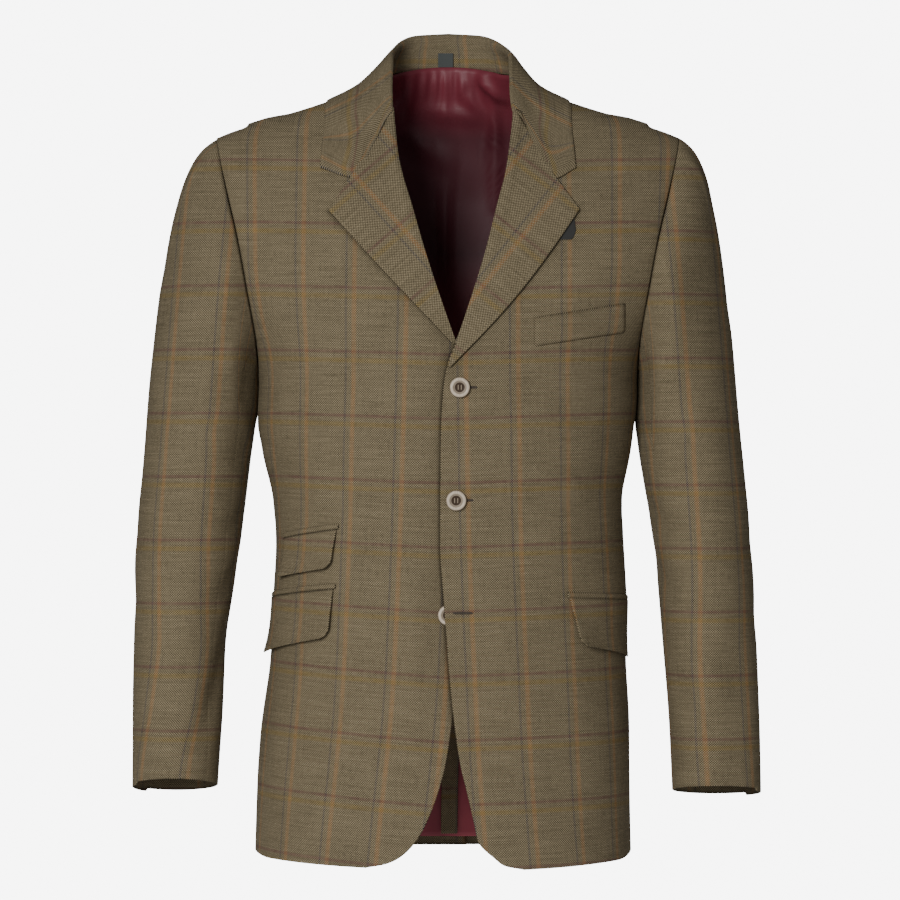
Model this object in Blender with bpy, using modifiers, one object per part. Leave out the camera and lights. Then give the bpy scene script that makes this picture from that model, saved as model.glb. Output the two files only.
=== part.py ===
"""A single-breasted field sports jacket, filled out as if it were worn.

Units are metres, +Z is up and the front faces -Y. The origin is where shoulders carry the
jacket: on the plane of the shoulder seams, at the base of the neck. Every cloth piece is a
closed wall between two grids of points, its outer and inner faces, laid on one body form. A
side is +1 for the wearer's left (+X) and -1 for the right, and "across" runs from the centre
towards that side.
"""
import math

import bmesh
import bpy
import numpy as np
from mathutils import Vector

LEFT = 1
RIGHT = -1

# Cloth and clearances
CLOTH = 0.002
LINING = 0.001
FACING = 0.0012
SEAM_GAP = 0.0004
LAID_GAP = 0.0005
LINING_GAP = 0.0018
ROUNDNESS = 2.2

# Heights of the main points, from the origin
NECK_HEIGHT = 0.024
NECK_RISE_BEHIND = 0.012
NECK_HALF_WIDTH = 0.0708
BREAK_HEIGHT = -0.2445
GORGE_HEIGHT = -0.0205
HEM_HEIGHT = -0.754
HEM_RISE_AT_SIDE = 0.006
HEM_RISE_FROM = -0.62
NECK_RISE_FROM = -0.04
SWAY = -0.003
SWAY_FROM = -0.56
VENT_TOP = -0.56

# Front lap, lapels and buttons
EDGE_BEHIND_ROLL = 0.003
NECK_EDGE_IN = 0.0025
LAP_FLAT = 0.009
LAP_RAMP = 0.027
NECK_SHIFT = 0.003
LAPEL_ROLL_HEIGHT = 0.003
LAPEL_SPRING = 0.0018
BUTTON_RADIUS = 0.010
BUTTON_STEPS = 20

# Back
VENT_LAP = 0.022
VENT_SINK = 0.0026
VENT_SINK_REACH = 0.05
PLEAT_TOP = -0.024
PLEAT_FLAT = 0.017
PLEAT_RAMP = 0.029
BACK_COLUMNS = (0.012, 0.034)

# Sleeves
ARM_STEPS = 9
UPPER_ARM = -0.36
CUFF_HEIGHT = {LEFT: -0.689, RIGHT: -0.682}
CUFF_DROP_BEHIND = 0.0085
FRONT_SEAM = 7
BACK_SEAM = 14
HEAD_RINGS = 5
HEAD_FULLNESS = {LEFT: 1.1, RIGHT: 1.3}
ARM_REACH = 0.42
HOLE_MIDDLE = np.array([0.235, 0.0, -0.16])

# Colours of the cloths and trims, linear RGB
TWEED = (0.115, 0.098, 0.055)
BURGUNDY = (0.115, 0.012, 0.018)
SLATE = (0.025, 0.04, 0.05)
HORN = (0.42, 0.33, 0.22)


def smooth(t):
    """An eased step from 0 to 1."""
    t = np.clip(t, 0.0, 1.0)
    return t * t * (3 - 2 * t)


class Table:
    """Rows of named columns, read between its rows along a smooth curve with no overshoot."""

    def __init__(self, names, rows):
        rows = np.array(sorted(rows))
        self.key = rows[:, 0]
        self.columns = dict(zip(names.split(), rows.T))
        self.slopes = {name: self.gentle_slopes(y) for name, y in self.columns.items()}

    def gentle_slopes(self, y):
        step = np.diff(self.key)
        rate = np.diff(y) / step
        slope = np.zeros_like(y)
        slope[0], slope[-1] = rate[0], rate[-1]
        for i in range(1, len(y) - 1):
            if rate[i - 1] * rate[i] > 0:
                before = 2 * step[i] + step[i - 1]
                after = step[i] + 2 * step[i - 1]
                slope[i] = (before + after) / (before / rate[i - 1] + after / rate[i])
        return slope

    def at(self, name, key):
        key = np.clip(np.asarray(key, float), self.key[0], self.key[-1])
        i = np.clip(np.searchsorted(self.key, key) - 1, 0, len(self.key) - 2)
        step = self.key[i + 1] - self.key[i]
        t = (key - self.key[i]) / step
        y, m = self.columns[name], self.slopes[name]
        start = y[i] * (1 + 2 * t) * (1 - t) ** 2 + m[i] * step * t * (1 - t) ** 2
        end = y[i + 1] * t * t * (3 - 2 * t) + m[i + 1] * step * t * t * (t - 1)
        return start + end

    def rate(self, name, key):
        small = 0.0005
        return (self.at(name, key + small) - self.at(name, key - small)) / (2 * small)


# Body form: half width and depths of the level section at each height. Between the armhole's
# top and bottom the width runs on past the armhole, where the sleeve takes over.
BODY = Table("height half_width front back", [
    (0.040, 0.064, 0.008, 0.071),
    (0.024, 0.073, 0.018, 0.076),
    (0.012, 0.086, 0.032, 0.081),
    (0.000, 0.116, 0.042, 0.086),
    (-0.020, 0.1775, 0.051, 0.093),
    (-0.035, 0.2232, 0.058, 0.098),
    (-0.045, 0.2430, 0.065, 0.101),
    (-0.060, 0.2525, 0.076, 0.105),
    (-0.100, 0.2530, 0.100, 0.115),
    (-0.160, 0.2495, 0.122, 0.123),
    (-0.210, 0.2210, 0.131, 0.125),
    (-0.255, 0.1938, 0.135, 0.123),
    (-0.275, 0.1888, 0.136, 0.121),
    (-0.350, 0.1830, 0.133, 0.108),
    (-0.400, 0.1740, 0.128, 0.102),
    (-0.445, 0.1720, 0.126, 0.103),
    (-0.500, 0.1750, 0.128, 0.110),
    (-0.556, 0.1770, 0.131, 0.119),
    (-0.640, 0.1840, 0.135, 0.129),
    (-0.754, 0.1860, 0.138, 0.134),
])

# The armhole seam, as seen from the front
ARMHOLE = Table("height across", [
    (-0.0385, 0.2310),
    (-0.0570, 0.2275),
    (-0.1000, 0.2175),
    (-0.1350, 0.2090),
    (-0.1880, 0.1990),
    (-0.2480, 0.1900),
    (-0.2750, 0.1888),
])

# The lapels' roll lines, from the collar down to the break
ROLL = Table("height left right", [
    (0.0240, 0.0665, 0.0575),
    (0.0050, 0.0656, 0.0560),
    (-0.0210, 0.0637, 0.0528),
    (-0.0570, 0.0597, 0.0491),
    (-0.0810, 0.0557, 0.0441),
    (-0.1070, 0.0488, 0.0362),
    (-0.1550, 0.0367, 0.0224),
    (-0.2075, 0.0205, 0.0052),
    (-0.2445, 0.0079, -0.0079),
])

# The fronts' edges from the break to the hem, and how deep the right one is tucked in
EDGE = Table("height left right sink", [
    (-0.2000, 0.0079, -0.0079, 0.0),
    (-0.2445, 0.0079, -0.0079, 0.0026),
    (-0.2600, 0.0020, -0.0140, 0.0026),
    (-0.2900, -0.0038, -0.0200, 0.0026),
    (-0.3360, -0.0064, -0.0220, 0.0026),
    (-0.4430, -0.0071, -0.0220, 0.0034),
    (-0.4880, -0.0042, -0.0200, 0.0068),
    (-0.5300, -0.0010, -0.0165, 0.0068),
    (-0.5700, 0.0020, -0.0110, 0.0050),
    (-0.6030, 0.0056, -0.0056, 0.0034),
    (-0.6530, 0.0137, 0.0009, 0.0020),
    (-0.6810, 0.0215, 0.0080, 0.0010),
    (-0.7090, 0.0289, 0.0187, 0.0),
    (-0.7256, 0.0330, 0.0280, 0.0),
    (-0.7421, 0.0493, 0.0435, 0.0),
    (-0.7500, 0.0600, 0.0590, 0.0),
    (-0.7540, 0.0780, 0.0780, 0.0),
])

# Fold of the action pleat in the back: the back lies over the back side above the waist
PLEAT = Table("height across overlap lift", [
    (-0.020, 0.200, 0.014, 0.0034),
    (-0.060, 0.191, 0.014, 0.0028),
    (-0.100, 0.180, 0.014, 0.0028),
    (-0.200, 0.152, 0.014, 0.0028),
    (-0.300, 0.130, 0.014, 0.0028),
    (-0.385, 0.119, 0.014, 0.0028),
    (-0.425, 0.116, -0.0006, 0.0028),
    (-0.475, 0.116, -0.0006, 0.0),
    (-0.600, 0.122, -0.0006, 0.0),
    (-0.754, 0.130, -0.0006, 0.0),
])

# Sleeves below the upper arm: outer and inner lines on each side, depth and place in depth
SLEEVE = Table("height outer_left inner_left outer_right inner_right half_depth middle", [
    (-0.36, 0.2955, 0.1915, 0.3050, 0.1975, 0.066, 0.004),
    (-0.46, 0.3035, 0.2075, 0.3125, 0.2095, 0.062, -0.004),
    (-0.55, 0.3080, 0.2145, 0.3137, 0.2220, 0.056, -0.014),
    (-0.62, 0.3100, 0.2200, 0.3142, 0.2250, 0.050, -0.022),
    (-0.69, 0.3115, 0.2230, 0.3142, 0.2290, 0.046, -0.028),
])

# How the sleeve leaves the armhole, from its top (0) to its bottom (1)
SLEEVE_HEAD = Table("fraction turn handle", [
    (0.00, -8.0, 0.050),
    (0.25, 35.0, 0.048),
    (0.50, 70.0, 0.040),
    (0.75, 112.0, 0.030),
    (1.00, 180.0, 0.020),
])

# Collar stations from the centre back (0) past the shoulder (3) to the gorge (5)
COLLAR = Table("station crest_x crest_y crest_z edge_x edge_y edge_z", [
    (0, 0.0000, 0.0757, 0.0727, 0.0000, 0.083, 0.014),
    (1, 0.0340, 0.0690, 0.0700, 0.0450, 0.076, 0.011),
    (2, 0.0530, 0.0420, 0.0590, 0.0940, 0.046, 0.004),
    (3, 0.0600, 0.0020, 0.0455, 0.1180, 0.000, -0.001),
    (4, 0.0605, -0.0330, 0.0120, 0.1225, -0.050, -0.032),
    (5, 0.0580, -0.0560, -0.0185, 0.1245, -0.070, -0.072),
])
COLLAR_STEPS = 14
FALL_STAND_OFF = 0.0014
FALL_HOLLOW = {LEFT: 0.009, RIGHT: 0.007}
CREST_RADIUS = 0.0026

# Corners of each lapel, as (across, height)
LAPEL = {
    LEFT: {"notch": (0.1040, -0.0811), "point": (0.1278, -0.1151), "belly": 0.006},
    RIGHT: {"notch": (0.0926, -0.0790), "point": (0.1160, -0.1160), "belly": 0.001},
}

# Pocket flaps: front corner, height of the rear corner, angle round to the rear end, drops
FLAPS = {
    ("hip_flap_left", "hip_jet_left"): dict(
        side=LEFT, across=0.1191, top=-0.4949, rear_top=-0.4995, rear_angle=8,
        drop=0.049, rear_drop=0.056, rake=0.009, corner=0.010),
    ("hip_flap_right", "hip_jet_right"): dict(
        side=RIGHT, across=0.1122, top=-0.4860, rear_top=-0.4964, rear_angle=8,
        drop=0.050, rear_drop=0.055, rake=0.003, corner=0.012),
    ("ticket_flap", "ticket_jet"): dict(
        side=RIGHT, across=0.1090, top=-0.4275, rear_top=-0.4370, rear_angle=22,
        drop=0.040, rear_drop=0.039, rake=0.004, corner=0.010),
}
FLAP_FLARE = 0.005
JET_HEIGHT = 0.005
JET_THICKNESS = 0.0011
TAB_THICKNESS = 0.0008
TAB_CORNERS = (0.1050, -0.1385), (0.1228, -0.1175), (0.1098, -0.1440), (0.1262, -0.1440)

# Breast welt on the left front: top corners and height
WELT = dict(front=(0.0839, -0.2214), rear=(0.1740, -0.2066), height=0.028)

# Buttons: side of the front that carries each, across from the centre in world X, height
BUTTONS = {
    "button_1": (LEFT, 0.0114, -0.289),
    "button_2": (LEFT, 0.0080, -0.399),
    "button_3": (RIGHT, 0.0000, -0.511),
}


def side_name(side):
    return "left" if side == LEFT else "right"


def angle_at(across, height):
    """Angle round the body form of a point on its front: 90 degrees is the centre front."""
    share = np.asarray(across, float) / BODY.at("half_width", height)
    share = np.clip(share, -1.0, 1.0)
    return np.arccos(np.sign(share) * np.abs(share) ** (ROUNDNESS / 2))


def outward(points):
    """Unit normals of the body form at points on or near it."""
    x, y, z = np.moveaxis(points, -1, 0)
    width = BODY.at("half_width", z)
    depth = np.where(y < 0, BODY.at("front", z), BODY.at("back", z))
    depth_rate = np.where(y < 0, BODY.rate("front", z), BODY.rate("back", z))
    in_x = np.abs(x / width) ** ROUNDNESS
    in_y = np.abs(y / depth) ** ROUNDNESS
    safe_x = np.where(np.abs(x) < 1e-9, 1e-9, x)
    safe_y = np.where(np.abs(y) < 1e-9, 1e-9, y)
    slope_z = -in_x * BODY.rate("half_width", z) / width - in_y * depth_rate / depth
    normal = np.stack([in_x / safe_x, in_y / safe_y, slope_z], axis=-1)
    return normal / np.linalg.norm(normal, axis=-1, keepdims=True)


def clearance(points):
    """Distance of points outside the body form, near enough for laying pieces on it."""
    x, y, z = np.moveaxis(points, -1, 0)
    depth = np.where(y < 0, BODY.at("front", z), BODY.at("back", z))

    def level(x, y, width, depth):
        total = np.abs(x / width) ** ROUNDNESS + np.abs(y / depth) ** ROUNDNESS
        return total ** (1 / ROUNDNESS)

    here = level(x, y, BODY.at("half_width", z), depth)
    step = 0.001
    moved = points + step * outward(points)
    mx, my, mz = np.moveaxis(moved, -1, 0)
    moved_depth = np.where(my < 0, BODY.at("front", mz), BODY.at("back", mz))
    rate = (level(mx, my, BODY.at("half_width", mz), moved_depth) - here) / step
    return (here - 1) / np.maximum(rate, 1e-3)


def raise_clear(points, least):
    """Move points outwards until they stand at least this far off the body form."""
    for _ in range(6):
        short = np.maximum(least - clearance(points), 0.0)
        points = points + short[..., None] * outward(points)
    return points


def body_point(angle, height, lift=0.0):
    """Points of the body form at an angle round it: 90 front, 0 side, -90 centre back."""
    angle, height, lift = np.broadcast_arrays(angle, height, np.asarray(lift, float))
    power = 2 / ROUNDNESS
    cos, sin = np.cos(angle), np.sin(angle)
    depth = np.where(sin > 0, BODY.at("front", height), BODY.at("back", height))
    x = BODY.at("half_width", height) * np.sign(cos) * np.abs(cos) ** power
    y = -depth * np.sign(sin) * np.abs(sin) ** power
    points = np.stack([x, y, height], axis=-1)
    return points + lift[..., None] * outward(points)


def settle(angle, height):
    """Heights of panel points: level at the centre, lifted at the side hem and behind the neck."""
    low = smooth((HEM_RISE_FROM - height) / (HEM_RISE_FROM - HEM_HEIGHT))
    hem = low * HEM_RISE_AT_SIDE * np.cos(angle) ** 2
    behind = np.where(np.sin(angle) < 0, np.sin(angle) ** 2, 0.0)
    neck = smooth((height - NECK_RISE_FROM) / (NECK_HEIGHT - NECK_RISE_FROM))
    return height + hem + neck * NECK_RISE_BEHIND * behind


def swayed(grid):
    """Points of body panels: the hem hangs a little towards the wearer's right."""
    shift = SWAY * smooth((SWAY_FROM - grid[..., 2]) / (SWAY_FROM - HEM_HEIGHT))
    return grid + shift[..., None] * np.array([1.0, 0, 0])


def roll_line(side, height):
    return ROLL.at(side_name(side), height)


def front_edge(side, height):
    """Where a front ends towards the centre: neckline, roll line, then its own edge."""
    tucked = EDGE_BEHIND_ROLL * smooth((height - BREAK_HEIGHT) / 0.03)
    roll = roll_line(side, height) + tucked
    neck = np.minimum(NECK_HALF_WIDTH, BODY.at("half_width", height) - NECK_EDGE_IN)
    upper = roll + (neck - roll) * smooth((height - GORGE_HEIGHT) / (NECK_HEIGHT - GORGE_HEIGHT))
    return np.where(height > BREAK_HEIGHT, upper, EDGE.at(side_name(side), height))


def front_lift(side, across, height):
    """The right front sinks where the left one laps over it."""
    if side == LEFT:
        return np.zeros(np.broadcast(across, height).shape)
    return -EDGE.at("sink", height) * smooth((LAP_FLAT + LAP_RAMP - across) / LAP_RAMP)


def on_front(side, across, height, lift):
    """Points laid on a front, before they are mirrored to their side."""
    across, height = np.broadcast_arrays(across, height)
    lift = lift + front_lift(side, across, height)
    return body_point(angle_at(across, height), height, lift)


def vent_sink(across, height):
    """How far the layers under the vent's lap are tucked in."""
    below = smooth((VENT_TOP - height) / VENT_SINK_REACH + 1)
    return VENT_SINK * below * smooth((VENT_LAP - across) / VENT_SINK_REACH + 1)


def armhole_angle(height):
    angle = angle_at(ARMHOLE.at("across", height), height)
    ends = (height >= ARM_HEIGHTS[0] - 1e-9) | (height <= ARM_HEIGHTS[-1] + 1e-9)
    return np.where(ends, 0.0, angle)


ARM_TOP, ARM_BOTTOM = ARMHOLE.key[-1], ARMHOLE.key[0]
ARM_SHARES = (1 - np.cos(np.linspace(0, np.pi, ARM_STEPS + 1))) / 2
ARM_HEIGHTS = ARM_TOP + (ARM_BOTTOM - ARM_TOP) * ARM_SHARES
SHOULDER_HEIGHTS = np.array([0.023, 0.012, 0.0, -0.014, -0.0245, -0.0275, -0.0305, -0.0345])
FRONT_HEIGHTS = np.concatenate([
    SHOULDER_HEIGHTS, ARM_HEIGHTS, np.linspace(-0.305, -0.46, 6), np.linspace(-0.49, -0.69, 8),
    HEM_HEIGHT + 0.046 * (1 - np.sin(np.linspace(0, np.pi / 2, 6))),
])
BACK_HEIGHTS = np.concatenate([
    SHOULDER_HEIGHTS, ARM_HEIGHTS, [-0.305, -0.345, -0.385, -0.405, -0.425, -0.45, -0.475],
    np.linspace(-0.51, -0.71, 6), [-0.743, HEM_HEIGHT],
])


def mirrored(grid, side):
    return grid * np.array([side, 1, 1])


def make_material(name, colour, roughness):
    material = bpy.data.materials.new(name)
    material.use_nodes = True
    shader = material.node_tree.nodes["Principled BSDF"]
    shader.inputs["Base Color"].default_value = (*colour, 1.0)
    shader.inputs["Roughness"].default_value = roughness
    shader.inputs["Metallic"].default_value = 0.0
    return material


def add_object(name, mesh, colour, roughness):
    mesh.materials.append(make_material(name, colour, roughness))
    mesh.shade_smooth()
    piece = bpy.data.objects.new(name, mesh)
    JACKET.objects.link(piece)
    return piece


def add_cloth(name, outer, inner, colour=TWEED, roughness=0.9):
    """A closed wall of cloth between the grids of points of its outer and inner faces."""
    rows, columns = outer.shape[:2]
    wall = bmesh.new()
    skins = [[[wall.verts.new(point) for point in row] for row in grid] for grid in (outer, inner)]
    for r in range(rows - 1):
        for c in range(columns - 1):
            for skin in skins:
                wall.faces.new((skin[r][c], skin[r][c + 1], skin[r + 1][c + 1], skin[r + 1][c]))
    rim = [(0, c) for c in range(columns)] + [(r, columns - 1) for r in range(1, rows)]
    rim += [(rows - 1, c) for c in range(columns - 2, -1, -1)]
    rim += [(r, 0) for r in range(rows - 2, 0, -1)]
    for (r, c), (next_r, next_c) in zip(rim, rim[1:] + rim[:1]):
        near, far = [(skin[r][c], skin[next_r][next_c]) for skin in skins]
        wall.faces.new((*near, *reversed(far)))
    bmesh.ops.recalc_face_normals(wall, faces=wall.faces)
    mesh = bpy.data.meshes.new(name)
    wall.to_mesh(mesh)
    wall.free()
    mesh.set_sharp_from_angle(angle=math.radians(50))
    return add_object(name, mesh, colour, roughness)


def grid_normals(grid, wrap=False):
    """Unit normals of a grid of points, along its rows times along its columns."""
    if wrap:
        along = np.roll(grid, -1, axis=1) - np.roll(grid, 1, axis=1)
    else:
        along = np.gradient(grid, axis=1)
    normal = np.cross(along, np.gradient(grid, axis=0))
    return normal / np.linalg.norm(normal, axis=-1, keepdims=True)


def make_fronts():
    outer = np.where(FRONT_HEIGHTS > ARM_TOP, 0.0, armhole_angle(FRONT_HEIGHTS))
    for side in (LEFT, RIGHT):
        edge = front_edge(side, FRONT_HEIGHTS)
        room = BODY.at("half_width", FRONT_HEIGHTS) - edge
        lap = np.minimum(np.maximum(LAP_FLAT, edge + 0.012), edge + 0.2 * room)
        ramp = np.minimum(np.maximum(LAP_FLAT + LAP_RAMP, edge + 0.03), edge + 0.4 * room)
        near = [angle_at(x, FRONT_HEIGHTS) for x in (edge, lap, ramp)]
        shares = np.linspace(0, 1, 8)[1:]
        far = [near[-1] + (outer - near[-1]) * share for share in shares]
        angle = np.stack(near + far, axis=1)
        height = settle(angle, FRONT_HEIGHTS[:, None])
        across = body_point(angle, height)[..., 0]
        lift = front_lift(side, across, height)
        faces = [body_point(angle, height, lift - depth) for depth in (0, CLOTH)]
        for face in faces:
            face[:, -1, 1] -= np.where(outer == 0.0, SEAM_GAP / 2, 0.0)
        add_cloth(f"front_{side_name(side)}", *(swayed(mirrored(face, side)) for face in faces))


def back_layout():
    """Angles of a back's columns: lap or centre seam, plain middle, then the pleat's fold."""
    heights = BACK_HEIGHTS
    edge = np.where(heights < VENT_TOP, -VENT_LAP, SEAM_GAP / 2)
    width = BODY.at("half_width", heights)
    outer = np.minimum(PLEAT.at("across", heights), width)
    scale = np.clip((outer - 0.045) / 0.07, 0.0, 1.0)
    fold = outer - (PLEAT_FLAT + PLEAT_RAMP) * scale
    lap, ramp = (np.full_like(outer, column) for column in BACK_COLUMNS)
    columns = [edge, lap, ramp] + [ramp + (fold - ramp) * share for share in (0.33, 0.67, 1.0)]
    columns = [-angle_at(x, heights) for x in columns]
    last = -angle_at(outer, heights)
    columns += [columns[-1] + (last - columns[-1]) * share for share in (0.35, 0.63, 0.83, 1.0)]
    return np.stack(columns, axis=1)


def make_backs():
    for side in (LEFT, RIGHT):
        angle = back_layout()
        height = settle(angle, BACK_HEIGHTS[:, None])
        across = body_point(angle, height)[..., 0]
        fold = PLEAT.at("across", height) - PLEAT_FLAT - PLEAT_RAMP
        lift = PLEAT.at("lift", height) * smooth((across - fold) / PLEAT_RAMP)
        if side == RIGHT:
            lift = lift - vent_sink(across, height)
        faces = [body_point(angle, height, lift - depth) for depth in (0, CLOTH)]
        for face in faces:
            face[:, -1, 1] += np.where(np.isclose(angle[:, -1], 0.0), SEAM_GAP / 2, 0.0)
        add_cloth(f"back_{side_name(side)}", *(swayed(mirrored(face, side)) for face in faces))


def make_back_sides():
    heights = BACK_HEIGHTS[BACK_HEIGHTS < PLEAT_TOP]
    outer = np.where(heights > ARM_TOP, 0.0, -armhole_angle(heights))
    inner = -angle_at(PLEAT.at("across", heights) - PLEAT.at("overlap", heights), heights)
    angle = np.stack([inner + (outer - inner) * s for s in np.linspace(0, 1, 5)], axis=1)
    faces = [body_point(angle, settle(angle, heights[:, None]), -depth) for depth in (0, CLOTH)]
    for face in faces:
        face[:, -1, 1] += np.where(outer == 0.0, SEAM_GAP / 2, 0.0)
    for side in (LEFT, RIGHT):
        add_cloth(f"back_side_{side_name(side)}", *(swayed(mirrored(face, side)) for face in faces))


def armhole_loop():
    """Points, normals and out-of-panel directions round an armhole, from its top by the front."""
    front = armhole_angle(ARM_HEIGHTS)
    angle = np.concatenate([front, -front[-2:0:-1]])
    height = np.concatenate([ARM_HEIGHTS, ARM_HEIGHTS[-2:0:-1]])
    down = np.linspace(0, 1, ARM_STEPS + 1)
    fraction = np.concatenate([down, down[-2:0:-1]])
    points = body_point(angle, settle(angle, height))
    normal = outward(points)
    along = np.roll(points, -1, axis=0) - np.roll(points, 1, axis=0)
    out = np.cross(along, normal)
    out /= np.linalg.norm(out, axis=1, keepdims=True)
    facing = np.sum(out * (HOLE_MIDDLE - points), axis=1, keepdims=True)
    return fraction, points, normal, out * np.sign(facing)


def sleeve_section(side, height):
    """Points of the sleeve's level sections, one column for each point of the armhole loop."""
    name = side_name(side)
    outer = SLEEVE.at(f"outer_{name}", height)
    inner = SLEEVE.at(f"inner_{name}", height)
    turn = np.linspace(0, 2 * np.pi, 2 * ARM_STEPS, endpoint=False)
    x = (outer + inner) / 2 + (outer - inner) / 2 * np.cos(turn)
    y = SLEEVE.at("middle", height) - SLEEVE.at("half_depth", height) * np.sin(turn)
    return np.stack(np.broadcast_arrays(x, y, height), axis=-1)


def sleeve_grid(side):
    """Rings of a sleeve: curves from the armhole to the upper arm, then sections to the cuff."""
    fraction, points, normal, out = armhole_loop()
    turn = np.radians(SLEEVE_HEAD.at("turn", fraction))[:, None]
    handle = SLEEVE_HEAD.at("handle", fraction)[:, None] * HEAD_FULLNESS[side]
    start = points + SEAM_GAP * out + SEAM_GAP * (1 - np.cos(turn)) / 2 * normal
    leave = np.cos(turn) * out + np.sin(turn) * normal
    arm = sleeve_section(side, np.full(2 * ARM_STEPS, UPPER_ARM))
    below = sleeve_section(side, np.full(2 * ARM_STEPS, UPPER_ARM - 0.02))
    arrive = (arm - below) / np.linalg.norm(arm - below, axis=1, keepdims=True)
    reach = ARM_REACH * np.linalg.norm(arm - start, axis=1, keepdims=True)
    rings = []
    for t in (0.0, 0.07, 0.16, 0.27, 0.40, 0.54, 0.69, 0.85):
        u = 1 - t
        rings.append(u ** 3 * start + 3 * u * u * t * (start + handle * leave)
                     + 3 * u * t * t * (arm + reach * arrive) + t ** 3 * arm)
    around = np.linspace(0, 2 * np.pi, 2 * ARM_STEPS, endpoint=False)
    cuff = CUFF_HEIGHT[side] + CUFF_DROP_BEHIND * np.sin(around)
    for share in np.linspace(0, 1, 10):
        rings.append(sleeve_section(side, UPPER_ARM + share * (cuff - UPPER_ARM)))
    return np.stack(rings)


def head_normals():
    """Normals of the sleeve's first ring, which lies along the armhole seam."""
    fraction, _, normal, out = armhole_loop()
    turn = np.radians(np.maximum(SLEEVE_HEAD.at("turn", fraction), 0.0))[:, None]
    return np.cos(turn) * normal - np.sin(turn) * out


def parted(walls, ring):
    """Two walls cut apart at a ring of points, with a seam's gap between them."""
    above = [wall[:ring + 1].copy() for wall in walls]
    below = [wall[ring:].copy() for wall in walls]
    for pair, end, inside in ((above, -1, -2), (below, 0, 1)):
        step = pair[0][inside] - pair[0][end]
        step /= np.linalg.norm(step, axis=1, keepdims=True)
        for wall in pair:
            wall[end] += step * SEAM_GAP / 2
    return above, below


def make_sleeves():
    """Two-piece sleeves; the curved head of each top piece is a node of its own."""
    for side in (LEFT, RIGHT):
        rings = sleeve_grid(side)
        normal = grid_normals(rings, wrap=True)
        normal[0] = head_normals()
        faces = rings, rings - CLOTH * normal
        count = rings.shape[1]
        columns = {"under": list(range(FRONT_SEAM, BACK_SEAM + 1)),
                   "top": [c % count for c in range(BACK_SEAM, count + FRONT_SEAM + 1)]}
        for part, chosen in columns.items():
            walls = [face[:, chosen] for face in faces]
            for end, inside in ((0, 1), (-1, -2)):
                step = walls[0][:, inside] - walls[0][:, end]
                step /= np.linalg.norm(step, axis=1, keepdims=True)
                for wall in walls:
                    wall[:, end] += step * SEAM_GAP / 2
            pieces = {part: walls}
            if part == "top":
                pieces["head"], pieces["top"] = parted(walls, HEAD_RINGS)
            for name, pair in pieces.items():
                add_cloth(f"sleeve_{name}_{side_name(side)}", *(mirrored(wall, side) for wall in pair))


def neck_seam(station):
    """The neckline edge at a collar station, on the body form."""
    angle = -np.pi / 2 * (1 - np.minimum(station, 3) / 3)
    return body_point(angle, settle(angle, np.full_like(station, NECK_HEIGHT)))


def collar_half(side):
    """Grid of half a collar from the centre back to the gorge: stand, crest, then fall."""
    station = np.linspace(0, 5, COLLAR_STEPS + 1)
    shift = side * NECK_SHIFT * smooth((station - 1) / 2)
    crest = np.stack([COLLAR.at(f"crest_{axis}", station) for axis in "xyz"], axis=-1)
    edge = np.stack([COLLAR.at(f"edge_{axis}", station) for axis in "xyz"], axis=-1)
    crest[:, 0] += shift
    gorge_top = GORGE_HEIGHT + 0.003
    gorge = on_front(side, roll_line(side, gorge_top), gorge_top, 2 * CLOTH)
    gorge_pull = smooth(station - 4)[:, None]
    crest += (gorge - crest) * gorge_pull
    stand_off = CLOTH + LAID_GAP + FALL_STAND_OFF * (1 - gorge_pull[:, 0])
    edge = raise_clear(edge, stand_off)
    past_shoulder = np.clip((station - 3) / 2, 0, 1)
    height = NECK_HEIGHT + (GORGE_HEIGHT + 0.002 - NECK_HEIGHT) * past_shoulder
    front = on_front(side, front_edge(side, height), height, 0.0)
    seam = np.where((station > 3)[:, None], front, neck_seam(station))
    inwards = -seam * np.array([1, 1, 0])
    inwards /= np.linalg.norm(inwards, axis=1, keepdims=True)
    foot = seam + inwards * (CLOTH + 3 * SEAM_GAP) + np.array([0, 0, 2 * LAID_GAP])
    out = (edge - crest) * np.array([1, 1, 0])
    out /= np.linalg.norm(out, axis=1, keepdims=True)
    down = np.array([0, 0, 0.8 * CREST_RADIUS])
    crest_in = crest - CREST_RADIUS * out - down
    crest_out = crest + CREST_RADIUS * out - down
    notch_point = on_front(side, *LAPEL[side]["notch"], CLOTH + LAID_GAP)
    hollow = FALL_HOLLOW[side] * smooth((station - 1) / 2) * smooth(5 - station)
    fall = [crest_out + (edge - crest_out) * share - (hollow * deep)[:, None] * out
            for share, deep in ((0.3, 0.5), (0.62, 1.0))]
    kink = [crest_out + (notch_point - crest_out) * share for share in (0.48, 1.0)]
    fall = [a + (b - a) * gorge_pull for a, b in zip(fall, kink)]
    fall = [raise_clear(line, stand_off) for line in fall]
    return np.stack([foot, (foot + crest_in) / 2, crest_in, crest, crest_out, *fall, edge], axis=1)


def make_collar():
    halves = {side: mirrored(collar_half(side), side) for side in (LEFT, RIGHT)}
    grid = np.concatenate([halves[RIGHT][:0:-1], halves[LEFT]])
    add_cloth("collar", grid, grid + CLOTH * grid_normals(grid))


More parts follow.
